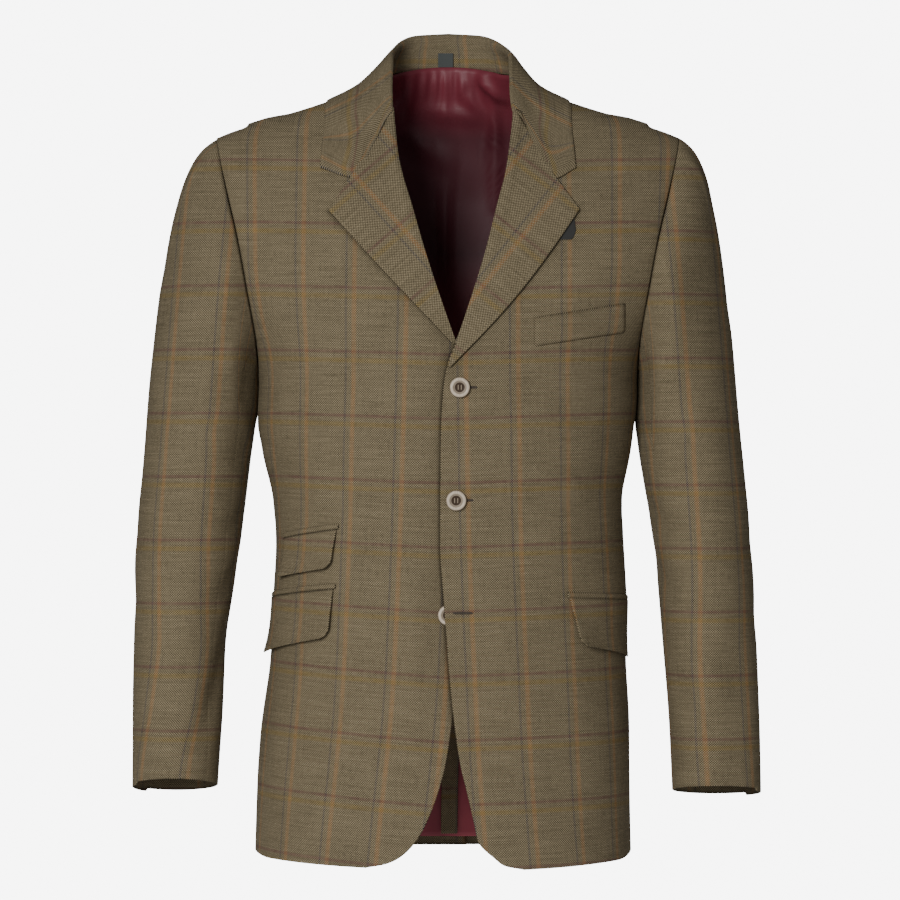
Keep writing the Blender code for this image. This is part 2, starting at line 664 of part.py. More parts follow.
def lapel_grid(side, depth):
    """Grid of a lapel at a depth in its cloth, from the gorge and its point down to the break."""
    shape = LAPEL[side]
    rows = np.linspace(0, 1, 14)[:, None]
    shares = np.linspace(0, 1, 7)[None, :]
    top = GORGE_HEIGHT - 2 * SEAM_GAP
    roll_height = top + (BREAK_HEIGHT + 0.002 - top) * rows
    roll = np.stack([roll_line(side, roll_height), roll_height], axis=-1)
    point = np.array(shape["point"])
    low = np.array([roll_line(side, BREAK_HEIGHT + 0.002) + 0.003, BREAK_HEIGHT + 0.001])
    along = low - point
    bow = np.array([-along[1], along[0]]) / np.linalg.norm(along)
    outer = point + along * rows[..., None] + shape["belly"] * np.sin(np.pi * rows)[..., None] * bow
    flat = roll + (outer - roll) * shares[..., None]
    notch = np.array(shape["notch"]) - np.array([0, 3 * SEAM_GAP])
    start = roll[0, 0]
    along_top = shares[0][:, None]
    kink = np.where(along_top < 2 / 3, start + (notch - start) * along_top * 1.5,
                    notch + (point - notch) * (along_top * 3 - 2))
    straight = start + (point - start) * along_top
    flat = flat + ((1 - rows) ** 3)[..., None] * (kink - straight)[None]
    from_roll = np.linalg.norm(flat - roll, axis=-1)
    lift = CLOTH + LAID_GAP - depth + LAPEL_SPRING * shares ** 2
    lift = lift + LAPEL_ROLL_HEIGHT * np.exp(-((from_roll - 0.008) / 0.008) ** 2) * (1 - rows)
    return on_front(side, flat[..., 0], flat[..., 1], lift)


def make_lapels():
    for side in (LEFT, RIGHT):
        faces = [mirrored(lapel_grid(side, depth), side) for depth in (0, CLOTH)]
        add_cloth(f"lapel_{side_name(side)}", *faces)


def make_flap(flap_names, side, across, top, rear_top, rear_angle, drop, rear_drop, rake, corner):
    """A pocket flap and the jet above it, laid on a front."""
    shares = np.linspace(0, 1, 8)[None, :]
    rows = np.array([0.0, 0.25, 0.5, 0.72, 0.86, 0.95, 1.0])[:, None]
    into_corner = np.clip(rows * drop - (drop - corner), 0.0, corner)
    inset = corner - np.sqrt(corner ** 2 - into_corner ** 2)
    front_x = across + rake * rows + inset
    front_angle = angle_at(front_x, top - rows * drop)
    angle = front_angle + (math.radians(rear_angle) - front_angle) * shares
    height = top + (rear_top - top) * shares - rows * (drop + (rear_drop - drop) * shares)
    lift = CLOTH + LAID_GAP + FLAP_FLARE * (shares * rows) ** 2
    faces = [mirrored(body_point(angle, height, lift - depth), side) for depth in (0, CLOTH)]
    add_cloth(flap_names[0], *faces)
    rows = np.array([[1.0], [0.5], [0.0]])
    lip = SEAM_GAP + rows * JET_HEIGHT
    height = top + (rear_top - top) * shares + lip
    start = angle_at(across - 0.002, top)
    angle = start + (math.radians(rear_angle) - start) * shares
    lifts = LAID_GAP + JET_THICKNESS, LAID_GAP
    add_cloth(flap_names[1], *(mirrored(body_point(angle, height, lift), side) for lift in lifts))


def make_breast_welt():
    shares = np.linspace(0, 1, 8)[None, :]
    rows = np.linspace(0, 1, 4)[:, None]
    front, rear = WELT["front"], WELT["rear"]
    across = front[0] + (rear[0] - front[0]) * shares + 0 * rows
    height = front[1] + (rear[1] - front[1]) * shares - rows * WELT["height"]
    faces = [on_front(LEFT, across, height, lift) for lift in (CLOTH + LAID_GAP, LAID_GAP)]
    add_cloth("breast_welt", *faces)


def make_lapel_tab():
    """A small dark tab that shows under the left lapel's tip."""
    rows = np.linspace(0, 1, 3)[:, None, None]
    shares = np.linspace(0, 1, 3)[None, :, None]
    top_front, top_rear, low_front, low_rear = (np.array(corner) for corner in TAB_CORNERS)
    top = top_front + (top_rear - top_front) * shares
    bottom = low_front + (low_rear - low_front) * shares
    flat = top + (bottom - top) * rows
    lifts = LAID_GAP + TAB_THICKNESS, LAID_GAP
    faces = [on_front(LEFT, flat[..., 0], flat[..., 1], lift) for lift in lifts]
    add_cloth("lapel_tab", *faces, SLATE, 0.8)


def make_lining():
    """Lining inside the back, from the neckline to just above the hem."""
    heights = BACK_HEIGHTS[:-1]
    outer = np.where(heights > ARM_TOP, -0.3, -armhole_angle(heights) - 0.25)
    shares = np.linspace(0, 1, 7)
    angle = np.stack([-np.pi / 2 + (outer + np.pi / 2) * s for s in shares], axis=1)
    height = settle(angle, heights[:, None]) - 0.001
    across = body_point(angle, height)[..., 0]
    lift = -(CLOTH + LINING_GAP) - vent_sink(across, height)
    halves = [body_point(angle, height, lift - depth) for depth in (0, LINING)]
    faces = [np.concatenate([mirrored(half[:, :0:-1], RIGHT), half], axis=1) for half in halves]
    add_cloth("lining_back", *(swayed(face) for face in faces), BURGUNDY, 0.5)


def make_vent_facing():
    """The strip of cloth that faces the vent's edge, seen inside between the quarters."""
    heights = np.linspace(VENT_TOP - 0.01, HEM_HEIGHT + 0.012, 8)[:, None]
    across = np.linspace(-0.004, 0.0125, 4)[None, :]
    angle = -angle_at(across, heights)
    inside = CLOTH + LINING_GAP + LINING + LAID_GAP + 0.0004 + vent_sink(across, heights)
    height = settle(angle, heights + 0 * across)
    faces = [swayed(body_point(angle, height, -inside - depth)) for depth in (0, FACING)]
    add_cloth("vent_facing", *faces)


def make_neck_loop():
    """A plain hanging loop sewn flat on the collar's stand at the centre back."""
    stand = collar_half(LEFT)[0]
    foot, top = stand[0], stand[2]
    shares = np.linspace(0.03, 0.44, 4)[:, None, None]
    across = np.linspace(-0.0097, 0.0050, 4)[None, :, None]
    place = foot + (top - foot) * shares + across * np.array([1.0, 0, 0])
    lean = LAID_GAP + 0.0004 + across ** 2 * 7
    faces = [place - (lean + depth) * np.array([0, 1.0, 0]) for depth in (LINING, 0)]
    add_cloth("neck_loop", *faces, SLATE, 0.7)


def make_buttons():
    """Turned buttons with a raised rim and a sunk middle."""
    profile = ((0.0, 0.0022), (0.0052, 0.0022), (0.0066, 0.0035), (0.0088, 0.0036),
               (BUTTON_RADIUS, 0.0024), (BUTTON_RADIUS, 0.0010), (0.0086, 0.0), (0.0, 0.0))
    for name, (side, x, height) in BUTTONS.items():
        outline = bmesh.new()
        points = [outline.verts.new((radius, 0, z)) for radius, z in profile]
        for a, b in zip(points, points[1:]):
            outline.edges.new((a, b))
        mesh = bpy.data.meshes.new(name)
        outline.to_mesh(mesh)
        outline.free()
        button = add_object(name, mesh, HORN, 0.35)
        turn = button.modifiers.new("Turned", "SCREW")
        turn.steps = turn.render_steps = BUTTON_STEPS
        turn.use_merge_vertices = True
        turn.merge_threshold = 0.00001
        across = x * side
        seat = on_front(side, np.array(across), np.array(height), LAID_GAP)
        normal = outward(body_point(angle_at(across, height), np.array(height)))
        button.location = mirrored(seat, side)
        button.rotation_mode = "QUATERNION"
        button.rotation_quaternion = Vector(mirrored(normal, side)).to_track_quat("Z", "Y")


for old in list(bpy.data.objects):
    bpy.data.objects.remove(old, do_unlink=True)
JACKET = bpy.data.collections.new("field_sports_jacket")
bpy.context.scene.collection.children.link(JACKET)

make_fronts()
make_backs()
make_back_sides()
make_sleeves()
make_collar()
make_lapels()
for flap_names, flap in FLAPS.items():
    make_flap(flap_names, **flap)
make_breast_welt()
make_lapel_tab()
make_lining()
make_vent_facing()
make_neck_loop()
make_buttons()
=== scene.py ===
# %% [markdown]
# # A tweed field sports jacket, filled out as worn
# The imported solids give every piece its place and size. This notebook sews the looks over them:
# fine cloth shells with soft creases, a checked tweed, a burgundy lining, horn buttons, thread.
# Units are metres, +Z is up, the front faces -Y and +X is the wearer's left.

# %% Load the solids
import math
import bmesh
import bpy
import numpy as np
from mathutils import Matrix, Vector


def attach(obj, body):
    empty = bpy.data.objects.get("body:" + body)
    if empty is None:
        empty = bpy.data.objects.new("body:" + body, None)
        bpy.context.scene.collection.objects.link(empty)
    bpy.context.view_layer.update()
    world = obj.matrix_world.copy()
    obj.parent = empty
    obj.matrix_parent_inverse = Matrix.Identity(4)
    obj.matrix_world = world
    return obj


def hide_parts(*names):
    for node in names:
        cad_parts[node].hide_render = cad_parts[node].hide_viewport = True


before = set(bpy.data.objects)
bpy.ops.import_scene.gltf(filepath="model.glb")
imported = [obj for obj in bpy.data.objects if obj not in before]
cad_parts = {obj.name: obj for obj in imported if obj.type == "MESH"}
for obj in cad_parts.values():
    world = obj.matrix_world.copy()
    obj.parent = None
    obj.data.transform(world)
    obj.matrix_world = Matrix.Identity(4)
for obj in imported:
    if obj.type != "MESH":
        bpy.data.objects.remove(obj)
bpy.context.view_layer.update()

LEFT, RIGHT = 1, -1
print("solids loaded:", len(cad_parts))

# %% [markdown]
# ## The measurements
# A tailor works from a table of measures. Each table here has named columns over a height or a
# station, and is read between its rows along a smooth curve, so one short list can shape a whole
# panel at any fineness. A spline through sculpted points would do too, but it could overshoot.

# %% Curves, lengths and tables of measures
TINY = 1e-9


def smooth(t):
    """An eased step from 0 to 1."""
    t = np.clip(t, 0.0, 1.0)
    return t * t * (3 - 2 * t)


def bell(distance, width):
    """1 at no distance, fading softly over the width."""
    return np.exp(-(distance / width) ** 2)


def cubic(start, end, start_slope, end_slope, t):
    """A curve from start to end with a slope at each, at shares t of the way."""
    first = start * (1 + 2 * t) * (1 - t) ** 2 + start_slope * t * (1 - t) ** 2
    last = end * t * t * (3 - 2 * t) + end_slope * t * t * (t - 1)
    return first + last


def unit(vectors):
    """Vectors scaled to a length of one."""
    return vectors / np.maximum(np.linalg.norm(vectors, axis=-1, keepdims=True), 1e-12)


def step_lengths(grid, axis):
    """Lengths of the steps down the columns (axis 0) or along the rows (axis 1) of a grid."""
    return np.linalg.norm(np.diff(grid, axis=axis), axis=-1)


def walked(grid, axis):
    """Length walked down the columns or along the rows of a grid, 0 at the first point."""
    return np.insert(np.cumsum(step_lengths(grid, axis), axis=axis), 0, 0.0, axis=axis)


class Table:
    """Rows of named columns, read between its rows along a smooth curve with no overshoot."""

    def __init__(self, names, rows):
        rows = np.array(sorted(rows))
        self.key = rows[:, 0]
        self.columns = dict(zip(names.split(), rows.T))
        self.slopes = {name: self.gentle_slopes(y) for name, y in self.columns.items()}

    def gentle_slopes(self, y):
        step = np.diff(self.key)
        rate = np.diff(y) / step
        slope = np.zeros_like(y)
        slope[0], slope[-1] = rate[0], rate[-1]
        for i in range(1, len(y) - 1):
            if rate[i - 1] * rate[i] > 0:
                before = 2 * step[i] + step[i - 1]
                after = step[i] + 2 * step[i - 1]
                slope[i] = (before + after) / (before / rate[i - 1] + after / rate[i])
        return slope

    def at(self, name, key):
        key = np.clip(np.asarray(key, float), self.key[0], self.key[-1])
        i = np.clip(np.searchsorted(self.key, key) - 1, 0, len(self.key) - 2)
        step = self.key[i + 1] - self.key[i]
        y, m = self.columns[name], self.slopes[name]
        return cubic(y[i], y[i + 1], m[i] * step, m[i + 1] * step, (key - self.key[i]) / step)

    def rate(self, name, key, small=0.0005):
        return (self.at(name, key + small) - self.at(name, key - small)) / (2 * small)


print("half way up an eased step:", smooth(0.5))

# %% Sizes of cloth, seams and laps
CLOTH, LINING, FACING = 0.002, 0.001, 0.0012
SEAM_GAP, LAID_GAP, LINING_GAP, LINING_NEAR = 0.0001, 0.0005, 0.0018, 0.0012
ROUNDNESS = 2.2
NECK_HEIGHT, NECK_RISE_BEHIND, NECK_HALF_WIDTH, NECK_RISE_FROM = 0.024, 0.012, 0.0708, -0.04
BREAK_HEIGHT, GORGE_HEIGHT, HEM_HEIGHT = -0.2445, -0.0205, -0.754
HEM_RISE_AT_SIDE, HEM_RISE_FROM = 0.006, -0.62
SWAY, SWAY_FROM = -0.003, -0.56
EDGE_BEHIND_ROLL, ROLL_TUCK_REACH, NECK_EDGE_IN = 0.003, 0.03, 0.0025
LAP_FLAT, LAP_RAMP = 0.009, 0.027
NECK_SHIFT, LAPEL_ROLL_HEIGHT, LAPEL_SPRING = 0.003, 0.003, 0.0018
VENT_TOP, VENT_LAP, VENT_SINK, VENT_SINK_REACH = -0.56, 0.022, 0.0026, 0.05
PLEAT_TOP, PLEAT_FLAT, PLEAT_RAMP = -0.024, 0.017, 0.029
UPPER_ARM, ARM_REACH, CUFF_DROP_BEHIND = -0.36, 0.42, 0.0085
CUFF_HEIGHT = {LEFT: -0.689, RIGHT: -0.682}
HEAD_FULLNESS = {LEFT: 1.1, RIGHT: 1.3}
HOLE_MIDDLE = np.array([0.235, 0.0, -0.16])
FALL_STAND_OFF, FALL_HOLLOW, CREST_RADIUS = -0.0008, {LEFT: 0.009, RIGHT: 0.007}, 0.0026
JET_HEIGHT, JET_THICKNESS, TAB_THICKNESS = 0.005, 0.0011, 0.0008
BUTTON_RADIUS = 0.010
print("thickness of cloth:", CLOTH, "of lining:", LINING)

# %% Tables of the body, armholes and edges
BODY = Table("height half_width front back", [
    (0.040, 0.064, 0.008, 0.071), (0.024, 0.073, 0.018, 0.076), (0.012, 0.086, 0.032, 0.081),
    (0.000, 0.116, 0.042, 0.086), (-0.020, 0.1775, 0.051, 0.093), (-0.035, 0.2232, 0.058, 0.098),
    (-0.045, 0.2430, 0.065, 0.101), (-0.060, 0.2525, 0.076, 0.105), (-0.100, 0.2530, 0.100, 0.115),
    (-0.160, 0.2495, 0.122, 0.123), (-0.210, 0.2210, 0.131, 0.125), (-0.255, 0.1938, 0.135, 0.123),
    (-0.275, 0.1888, 0.136, 0.121), (-0.350, 0.1830, 0.133, 0.108), (-0.400, 0.1740, 0.128, 0.102),
    (-0.445, 0.1720, 0.126, 0.103), (-0.500, 0.1750, 0.128, 0.110), (-0.556, 0.1770, 0.131, 0.119),
    (-0.640, 0.1840, 0.135, 0.129), (-0.754, 0.1860, 0.138, 0.134),
])
ARMHOLE = Table("height across", [
    (-0.0385, 0.2310), (-0.0570, 0.2275), (-0.1000, 0.2175), (-0.1350, 0.2090),
    (-0.1880, 0.1990), (-0.2480, 0.1900), (-0.2750, 0.1888),
])
ROLL = Table("height left right", [
    (0.0240, 0.0665, 0.0575), (0.0050, 0.0656, 0.0560), (-0.0210, 0.0637, 0.0528),
    (-0.0570, 0.0597, 0.0491), (-0.0810, 0.0557, 0.0441), (-0.1070, 0.0488, 0.0362),
    (-0.1550, 0.0367, 0.0224), (-0.2075, 0.0205, 0.0052), (-0.2445, 0.0079, -0.0079),
])
EDGE = Table("height left right sink", [
    (-0.2000, 0.0079, -0.0079, 0.0), (-0.2445, 0.0079, -0.0079, 0.0026),
    (-0.2600, 0.0020, -0.0140, 0.0026), (-0.2900, -0.0038, -0.0200, 0.0026),
    (-0.3360, -0.0064, -0.0220, 0.0026), (-0.4430, -0.0071, -0.0220, 0.0034),
    (-0.4880, -0.0042, -0.0200, 0.0068), (-0.5300, -0.0010, -0.0165, 0.0068),
    (-0.5700, 0.0020, -0.0110, 0.0050), (-0.6030, 0.0056, -0.0056, 0.0034),
    (-0.6530, 0.0137, 0.0009, 0.0020), (-0.6810, 0.0215, 0.0080, 0.0010),
    (-0.7090, 0.0289, 0.0187, 0.0), (-0.7256, 0.0330, 0.0280, 0.0),
    (-0.7421, 0.0493, 0.0435, 0.0), (-0.7500, 0.0600, 0.0590, 0.0), (-0.7540, 0.0780, 0.0780, 0.0),
])
PLEAT = Table("height across overlap lift", [
    (-0.020, 0.200, 0.014, 0.0034), (-0.060, 0.191, 0.014, 0.0028), (-0.100, 0.180, 0.014, 0.0028),
    (-0.200, 0.152, 0.014, 0.0028), (-0.300, 0.130, 0.014, 0.0028), (-0.385, 0.119, 0.014, 0.0028),
    (-0.425, 0.116, -0.0006, 0.0028), (-0.475, 0.116, -0.0006, 0.0),
    (-0.600, 0.122, -0.0006, 0.0), (-0.754, 0.130, -0.0006, 0.0),
])
print("body table rows:", len(BODY.key), "edge table rows:", len(EDGE.key))

# %% Tables of the sleeves, collar, lapels and pockets
SLEEVE = Table("height outer_left inner_left outer_right inner_right half_depth middle", [
    (-0.36, 0.2955, 0.1915, 0.3050, 0.1975, 0.066, 0.004),
    (-0.46, 0.3035, 0.2075, 0.3125, 0.2095, 0.062, -0.004),
    (-0.55, 0.3080, 0.2145, 0.3137, 0.2220, 0.056, -0.014),
    (-0.62, 0.3100, 0.2200, 0.3142, 0.2250, 0.050, -0.022),
    (-0.69, 0.3115, 0.2230, 0.3142, 0.2290, 0.046, -0.028),
])
SLEEVE_HEAD = Table("fraction turn handle", [
    (0.00, -8.0, 0.050), (0.25, 35.0, 0.048), (0.50, 70.0, 0.040), (0.75, 112.0, 0.030), (1.00, 180.0, 0.020),
])
COLLAR = Table("station crest_x crest_y crest_z edge_x edge_y edge_z", [
    (0, 0.0000, 0.0757, 0.0727, 0.0000, 0.083, 0.014),
    (1, 0.0340, 0.0690, 0.0700, 0.0450, 0.076, 0.011),
    (2, 0.0530, 0.0420, 0.0590, 0.0940, 0.046, 0.004),
    (3, 0.0600, 0.0020, 0.0455, 0.1180, 0.000, -0.001),
    (4, 0.0605, -0.0330, 0.0120, 0.1225, -0.050, -0.032),
    (5, 0.0580, -0.0560, -0.0185, 0.1245, -0.070, -0.072),
])
LAPEL = {
    LEFT: {"notch": (0.1040, -0.0811), "point": (0.1278, -0.1151), "belly": 0.006},
    RIGHT: {"notch": (0.0926, -0.0790), "point": (0.1160, -0.1160), "belly": 0.001},
}
# crease sets how strong the painted shade is along each flap's seam at the mouth
FLAPS = {
    "hip_left": dict(nodes=("hip_flap_left", "hip_jet_left"), side=LEFT, across=0.1191, top=-0.4949,
                     rear_top=-0.4995, rear_angle=8, drop=0.049, rear_drop=0.056, rake=0.009,
                     corner=0.010, flare=-0.002, crease=0.3),
    "hip_right": dict(nodes=("hip_flap_right", "hip_jet_right"), side=RIGHT, across=0.1122, top=-0.4860,
                      rear_top=-0.4964, rear_angle=8, drop=0.050, rear_drop=0.055, rake=0.003,
                      corner=0.012, flare=0.003, crease=0.8),
    "ticket": dict(nodes=("ticket_flap", "ticket_jet"), side=RIGHT, across=0.1090, top=-0.4275,
                   rear_top=-0.4370, rear_angle=22, drop=0.040, rear_drop=0.039, rake=0.004,
                   corner=0.010, flare=0.003, crease=0.8),
}
WELT_FRONT, WELT_REAR, WELT_HEIGHT = (0.0839, -0.2214), (0.1740, -0.2066), 0.028
TAB_CORNERS = (0.1050, -0.1385), (0.1228, -0.1175), (0.1098, -0.1440), (0.1262, -0.1440)
BUTTONS = {
    "button_1": (LEFT, 0.0114, -0.289), "button_2": (LEFT, 0.0080, -0.399), "button_3": (RIGHT, 0.0, -0.511),
}
print("sleeve table rows:", len(SLEEVE.key), "flaps:", list(FLAPS))

# %% [markdown]
# ## The body form
# Level sections of a dressed body are rounded rectangles. A superellipse with a power a little over
# two gives that with one number, and its normals come from the formula, so every layer of cloth can
# be lifted off it by an exact distance. A point is named by an angle round the body and a height.

# %% Points and normals of the body form


def side_name(side):
    return "left" if side == LEFT else "right"


def half_sizes(y, height):
    """Half width of the body form, and its depth ahead of (y < 0) or behind the middle."""
    return BODY.at("half_width", height), np.where(y < 0, BODY.at("front", height), BODY.at("back", height))


def angle_at(across, height):
    """Angle round the body form of a point on its front: 90 degrees is the centre front."""
    share = np.clip(np.asarray(across, float) / BODY.at("half_width", height), -1.0, 1.0)
    return np.arccos(np.sign(share) * np.abs(share) ** (ROUNDNESS / 2))


def outward(points):
    """Unit normals of the body form at points on or near it."""
    x, y, z = np.moveaxis(points, -1, 0)
    width, depth = half_sizes(y, z)
    depth_rate = np.where(y < 0, BODY.rate("front", z), BODY.rate("back", z))
    in_x = np.abs(x / width) ** ROUNDNESS
    in_y = np.abs(y / depth) ** ROUNDNESS
    safe_x, safe_y = (np.where(np.abs(value) < TINY, TINY, value) for value in (x, y))
    slope_z = -in_x * BODY.rate("half_width", z) / width - in_y * depth_rate / depth
    return unit(np.stack([in_x / safe_x, in_y / safe_y, slope_z], axis=-1))


def body_point(angle, height, lift=0.0):
    """Points of the body form at an angle round it: 90 front, 0 side, -90 centre back."""
    angle, height, lift = np.broadcast_arrays(angle, height, np.asarray(lift, float))
    power = 2 / ROUNDNESS
    cos, sin = np.cos(angle), np.sin(angle)
    width, depth = half_sizes(-sin, height)
    x = width * np.sign(cos) * np.abs(cos) ** power
    y = -depth * np.sign(sin) * np.abs(sin) ** power
    points = np.stack([x, y, height], axis=-1)
    return points + lift[..., None] * outward(points)


def across_at(angle, height):
    return body_point(angle, height)[..., 0]


def clearance(points, step=0.001):
    """Distance of points outside the body form, near enough for laying pieces on it."""

    def level(points):
        x, y, z = np.moveaxis(points, -1, 0)
        width, depth = half_sizes(y, z)
        return (np.abs(x / width) ** ROUNDNESS + np.abs(y / depth) ** ROUNDNESS) ** (1 / ROUNDNESS)

    here = level(points)
    rate = (level(points + step * outward(points)) - here) / step
    return (here - 1) / np.maximum(rate, step)


def raise_clear(points, least, rounds=6):
    """Move points outwards until they stand at least this far off the body form."""
    for _ in range(rounds):
        short = np.maximum(least - clearance(points), 0.0)
        points = points + short[..., None] * outward(points)
    return points


def mirrored(grid, side):
    return grid * np.array([side, 1, 1])


def settle(angle, height):
    """Heights of panel points: level at the centre, lifted at the side hem and behind the neck."""
    low = smooth((HEM_RISE_FROM - height) / (HEM_RISE_FROM - HEM_HEIGHT))
    hem = low * HEM_RISE_AT_SIDE * np.cos(angle) ** 2
    behind = np.where(np.sin(angle) < 0, np.sin(angle) ** 2, 0.0)
    neck = smooth((height - NECK_RISE_FROM) / (NECK_HEIGHT - NECK_RISE_FROM))
    return height + hem + neck * NECK_RISE_BEHIND * behind


def swayed(grid):
    """Points of body panels: the hem hangs a little towards the wearer's right."""
    shift = SWAY * smooth((SWAY_FROM - grid[..., 2]) / (SWAY_FROM - HEM_HEIGHT))
    return grid + shift[..., None] * np.array([1.0, 0, 0])


def panel(side, angle, height, lift, depths):
    """The faces of a panel, each this deep below its lift off the body form, on its own side."""
    return [swayed(mirrored(body_point(angle, height, lift - depth), side)) for depth in depths]


print("chest half width:", float(BODY.at("half_width", -0.25)))

# %% [markdown]
# ## Edges, laps and creases
# The fronts follow the neck, the roll line and then their own edge down to the rounded quarter, and
# the right one sinks where the left one laps over it. Cloth that hangs is never dead smooth: each
# crease here is a soft trough along a line, and a few slow waves of uneven length break the rest.
# A cloth simulation would crease too, but these are placed where the real jacket has them.

# %% Edges of the panels


def roll_line(side, height):
    return ROLL.at(side_name(side), height)


def front_edge(side, height):
    """Where a front ends towards the centre: neckline, roll line, then its own edge."""
    tucked = EDGE_BEHIND_ROLL * smooth((height - BREAK_HEIGHT) / ROLL_TUCK_REACH)
    roll = roll_line(side, height) + tucked
    neck = np.minimum(NECK_HALF_WIDTH, BODY.at("half_width", height) - NECK_EDGE_IN)
    upper = roll + (neck - roll) * smooth((height - GORGE_HEIGHT) / (NECK_HEIGHT - GORGE_HEIGHT))
    return np.where(height > BREAK_HEIGHT, upper, EDGE.at(side_name(side), height))


def vent_sink(across, height):
    """How far the layers under the vent's lap are tucked in."""
    below = smooth((VENT_TOP - height) / VENT_SINK_REACH + 1)
    return VENT_SINK * below * smooth((VENT_LAP - across) / VENT_SINK_REACH + 1)


def armhole_angle(height):
    angle = angle_at(ARMHOLE.at("across", height), height)
    ends = (height >= ARM_HEIGHTS[0] - TINY) | (height <= ARM_HEIGHTS[-1] + TINY)
    return np.where(ends, 0.0, angle)


ARM_STEPS = 72
ARM_TOP, ARM_BOTTOM = ARMHOLE.key[-1], ARMHOLE.key[0]
ARM_SHARES = (1 - np.cos(np.linspace(0, np.pi, ARM_STEPS + 1))) / 2
ARM_HEIGHTS = ARM_TOP + (ARM_BOTTOM - ARM_TOP) * ARM_SHARES
SHOULDER_HEIGHTS = np.concatenate([
    np.linspace(0.023, -0.018, 12), np.linspace(GORGE_HEIGHT, ARM_TOP, 16)[:-1],
])
print("armhole rows:", len(ARM_HEIGHTS))

# %% Creases
CREASE_FADE = 0.3
FRONT_WAVES, FRONT_WAVE_LENGTH = 0.0008, 0.11
# each crease starts at (across, height), ends at (across, height), and has a width and a depth; a
# negative depth is a ridge
FRONT_CREASES = {
    LEFT: [(0.03, -0.30, 0.13, -0.27, 0.016, 0.0012), (0.03, -0.41, 0.14, -0.40, 0.015, 0.0011),
           (0.10, -0.58, 0.12, -0.74, 0.018, 0.0015), (0.17, -0.30, 0.15, -0.42, 0.016, 0.0016)],
    RIGHT: [(0.02, -0.31, 0.12, -0.28, 0.016, 0.0012), (0.02, -0.42, 0.13, -0.41, 0.015, 0.0010),
            (0.09, -0.60, 0.10, -0.74, 0.018, 0.0016), (0.17, -0.31, 0.155, -0.42, 0.016, 0.0015)],
}


def trough(a, b, start, end, width):
    """Weight of a soft crease along the line from start to end, fading at both ends."""
    start, along = np.array(start), np.array(end) - np.array(start)
    place = np.stack(np.broadcast_arrays(a, b), axis=-1) - start
    share = place @ along / (along @ along)
    off = np.linalg.norm(place - np.clip(share, 0, 1)[..., None] * along, axis=-1)
    ends = [smooth((1 + CREASE_FADE) * part + CREASE_FADE) for part in (share, 1 - share)]
    return bell(off, width) * (ends[0] * ends[1])


def creased(a, b, creases):
    """How deep a list of creases goes at each place."""
    return sum(trough(a, b, line[:2], line[2:], width) * depth for *line, width, depth in creases)


def slow_waves(a, b, seed, length):
    """A few waves of uneven length and direction, between about -1 and 1."""
    rng = np.random.default_rng(seed)
    total, count = 0.0, 5
    for _ in range(count):
        turn = rng.uniform(0, 2 * np.pi)
        wave = length * rng.uniform(0.7, 1.6)
        phase = (a * np.cos(turn) + b * np.sin(turn)) * 2 * np.pi / wave
        total = total + np.sin(phase + rng.uniform(0, 2 * np.pi)) / count
    return total


def front_drape(side, across, height):
    """How far a front, and all that is laid on it, sinks or swells from the body form."""
    away = smooth((across - 0.02) / 0.04) * smooth((BREAK_HEIGHT + 0.09 - height) / 0.08)
    waves = FRONT_WAVES * slow_waves(across * 1.6, height * 0.55, 11 + side, FRONT_WAVE_LENGTH)
    return (waves - creased(across, height, FRONT_CREASES[side])) * away


def front_lift(side, across, height):
    """The right front sinks where the left one laps over it, and both have their creases."""
    drape = front_drape(side, across, height)
    if side == LEFT:
        return drape
    return drape - EDGE.at("sink", height) * smooth((LAP_FLAT + LAP_RAMP - across) / LAP_RAMP)


def on_front(side, across, height, lift):
    """Points laid on a front, before they are mirrored to their side."""
    across, height = np.broadcast_arrays(across, height)
    return body_point(angle_at(across, height), height, lift + front_lift(side, across, height))


print("front creases:", {side_name(side): len(creases) for side, creases in FRONT_CREASES.items()})

# %% [markdown]
# ## Where the check falls
# The tweed is checked, so every piece needs its place on the bolt: u across the warp and v down it,
# in metres, with a navy line at u = 0 and a burgundy line at v = 0. A UV map holds them. Unwrapping
# would lose the match between pieces, so u is measured as cloth length round the body or the arm,
# and small tables say how the lines lean.

# %% Cloth coordinates of the fronts and backs
CHECK_WIDTH, CHECK_LENGTH = 0.0517, 0.0627
FIRST_WEFT_LINE = {"body": 0.0063, LEFT: 0.0084, RIGHT: 0.0}
FRONT_WEFT_SHIFT, TILT_FROM, BACK_WARP_LINE = 0.001, 0.03, 0.012
FRONT_LINES = Table("height start_left start_right tilt_left tilt_right", [
    (0.0, 0.0075, 0.0455, 0.033, 0.033), (-0.22, 0.0088, 0.0490, 0.033, 0.033),
    (-0.40, 0.0115, 0.0540, 0.033, 0.045), (-0.60, 0.0195, 0.0630, 0.028, 0.08),
    (-0.754, 0.0330, 0.0760, 0.025, 0.09),
])


def round_length(angle, height, count=25):
    """Cloth length round the body from the centre front to each point."""
    steps = np.linspace(0, 1, count).reshape(-1, *[1] * np.ndim(angle))
    path = body_point(np.pi / 2 + (angle - np.pi / 2) * steps, height + 0 * steps)
    length = step_lengths(path, 0).sum(axis=0)
    return np.where(angle > np.pi / 2, -length, length)


def front_cloth(side, angle, height):
    name = side_name(side)
    angle, height = np.broadcast_arrays(angle, height)
    u = side * (round_length(angle, height) - FRONT_LINES.at("start_" + name, height))
    tilt = FRONT_LINES.at("tilt_" + name, height) * (across_at(angle, height) - TILT_FROM)
    return np.stack([u, -height + tilt + FRONT_WEFT_SHIFT - FIRST_WEFT_LINE["body"]], axis=-1)


def back_cloth(side, angle, height):
    angle, height = np.broadcast_arrays(angle, height)
    u = side * round_length(-angle, height) - BACK_WARP_LINE
    return np.stack([u, -height - FIRST_WEFT_LINE["body"]], axis=-1)


print("check of", CHECK_WIDTH, "by", CHECK_LENGTH)

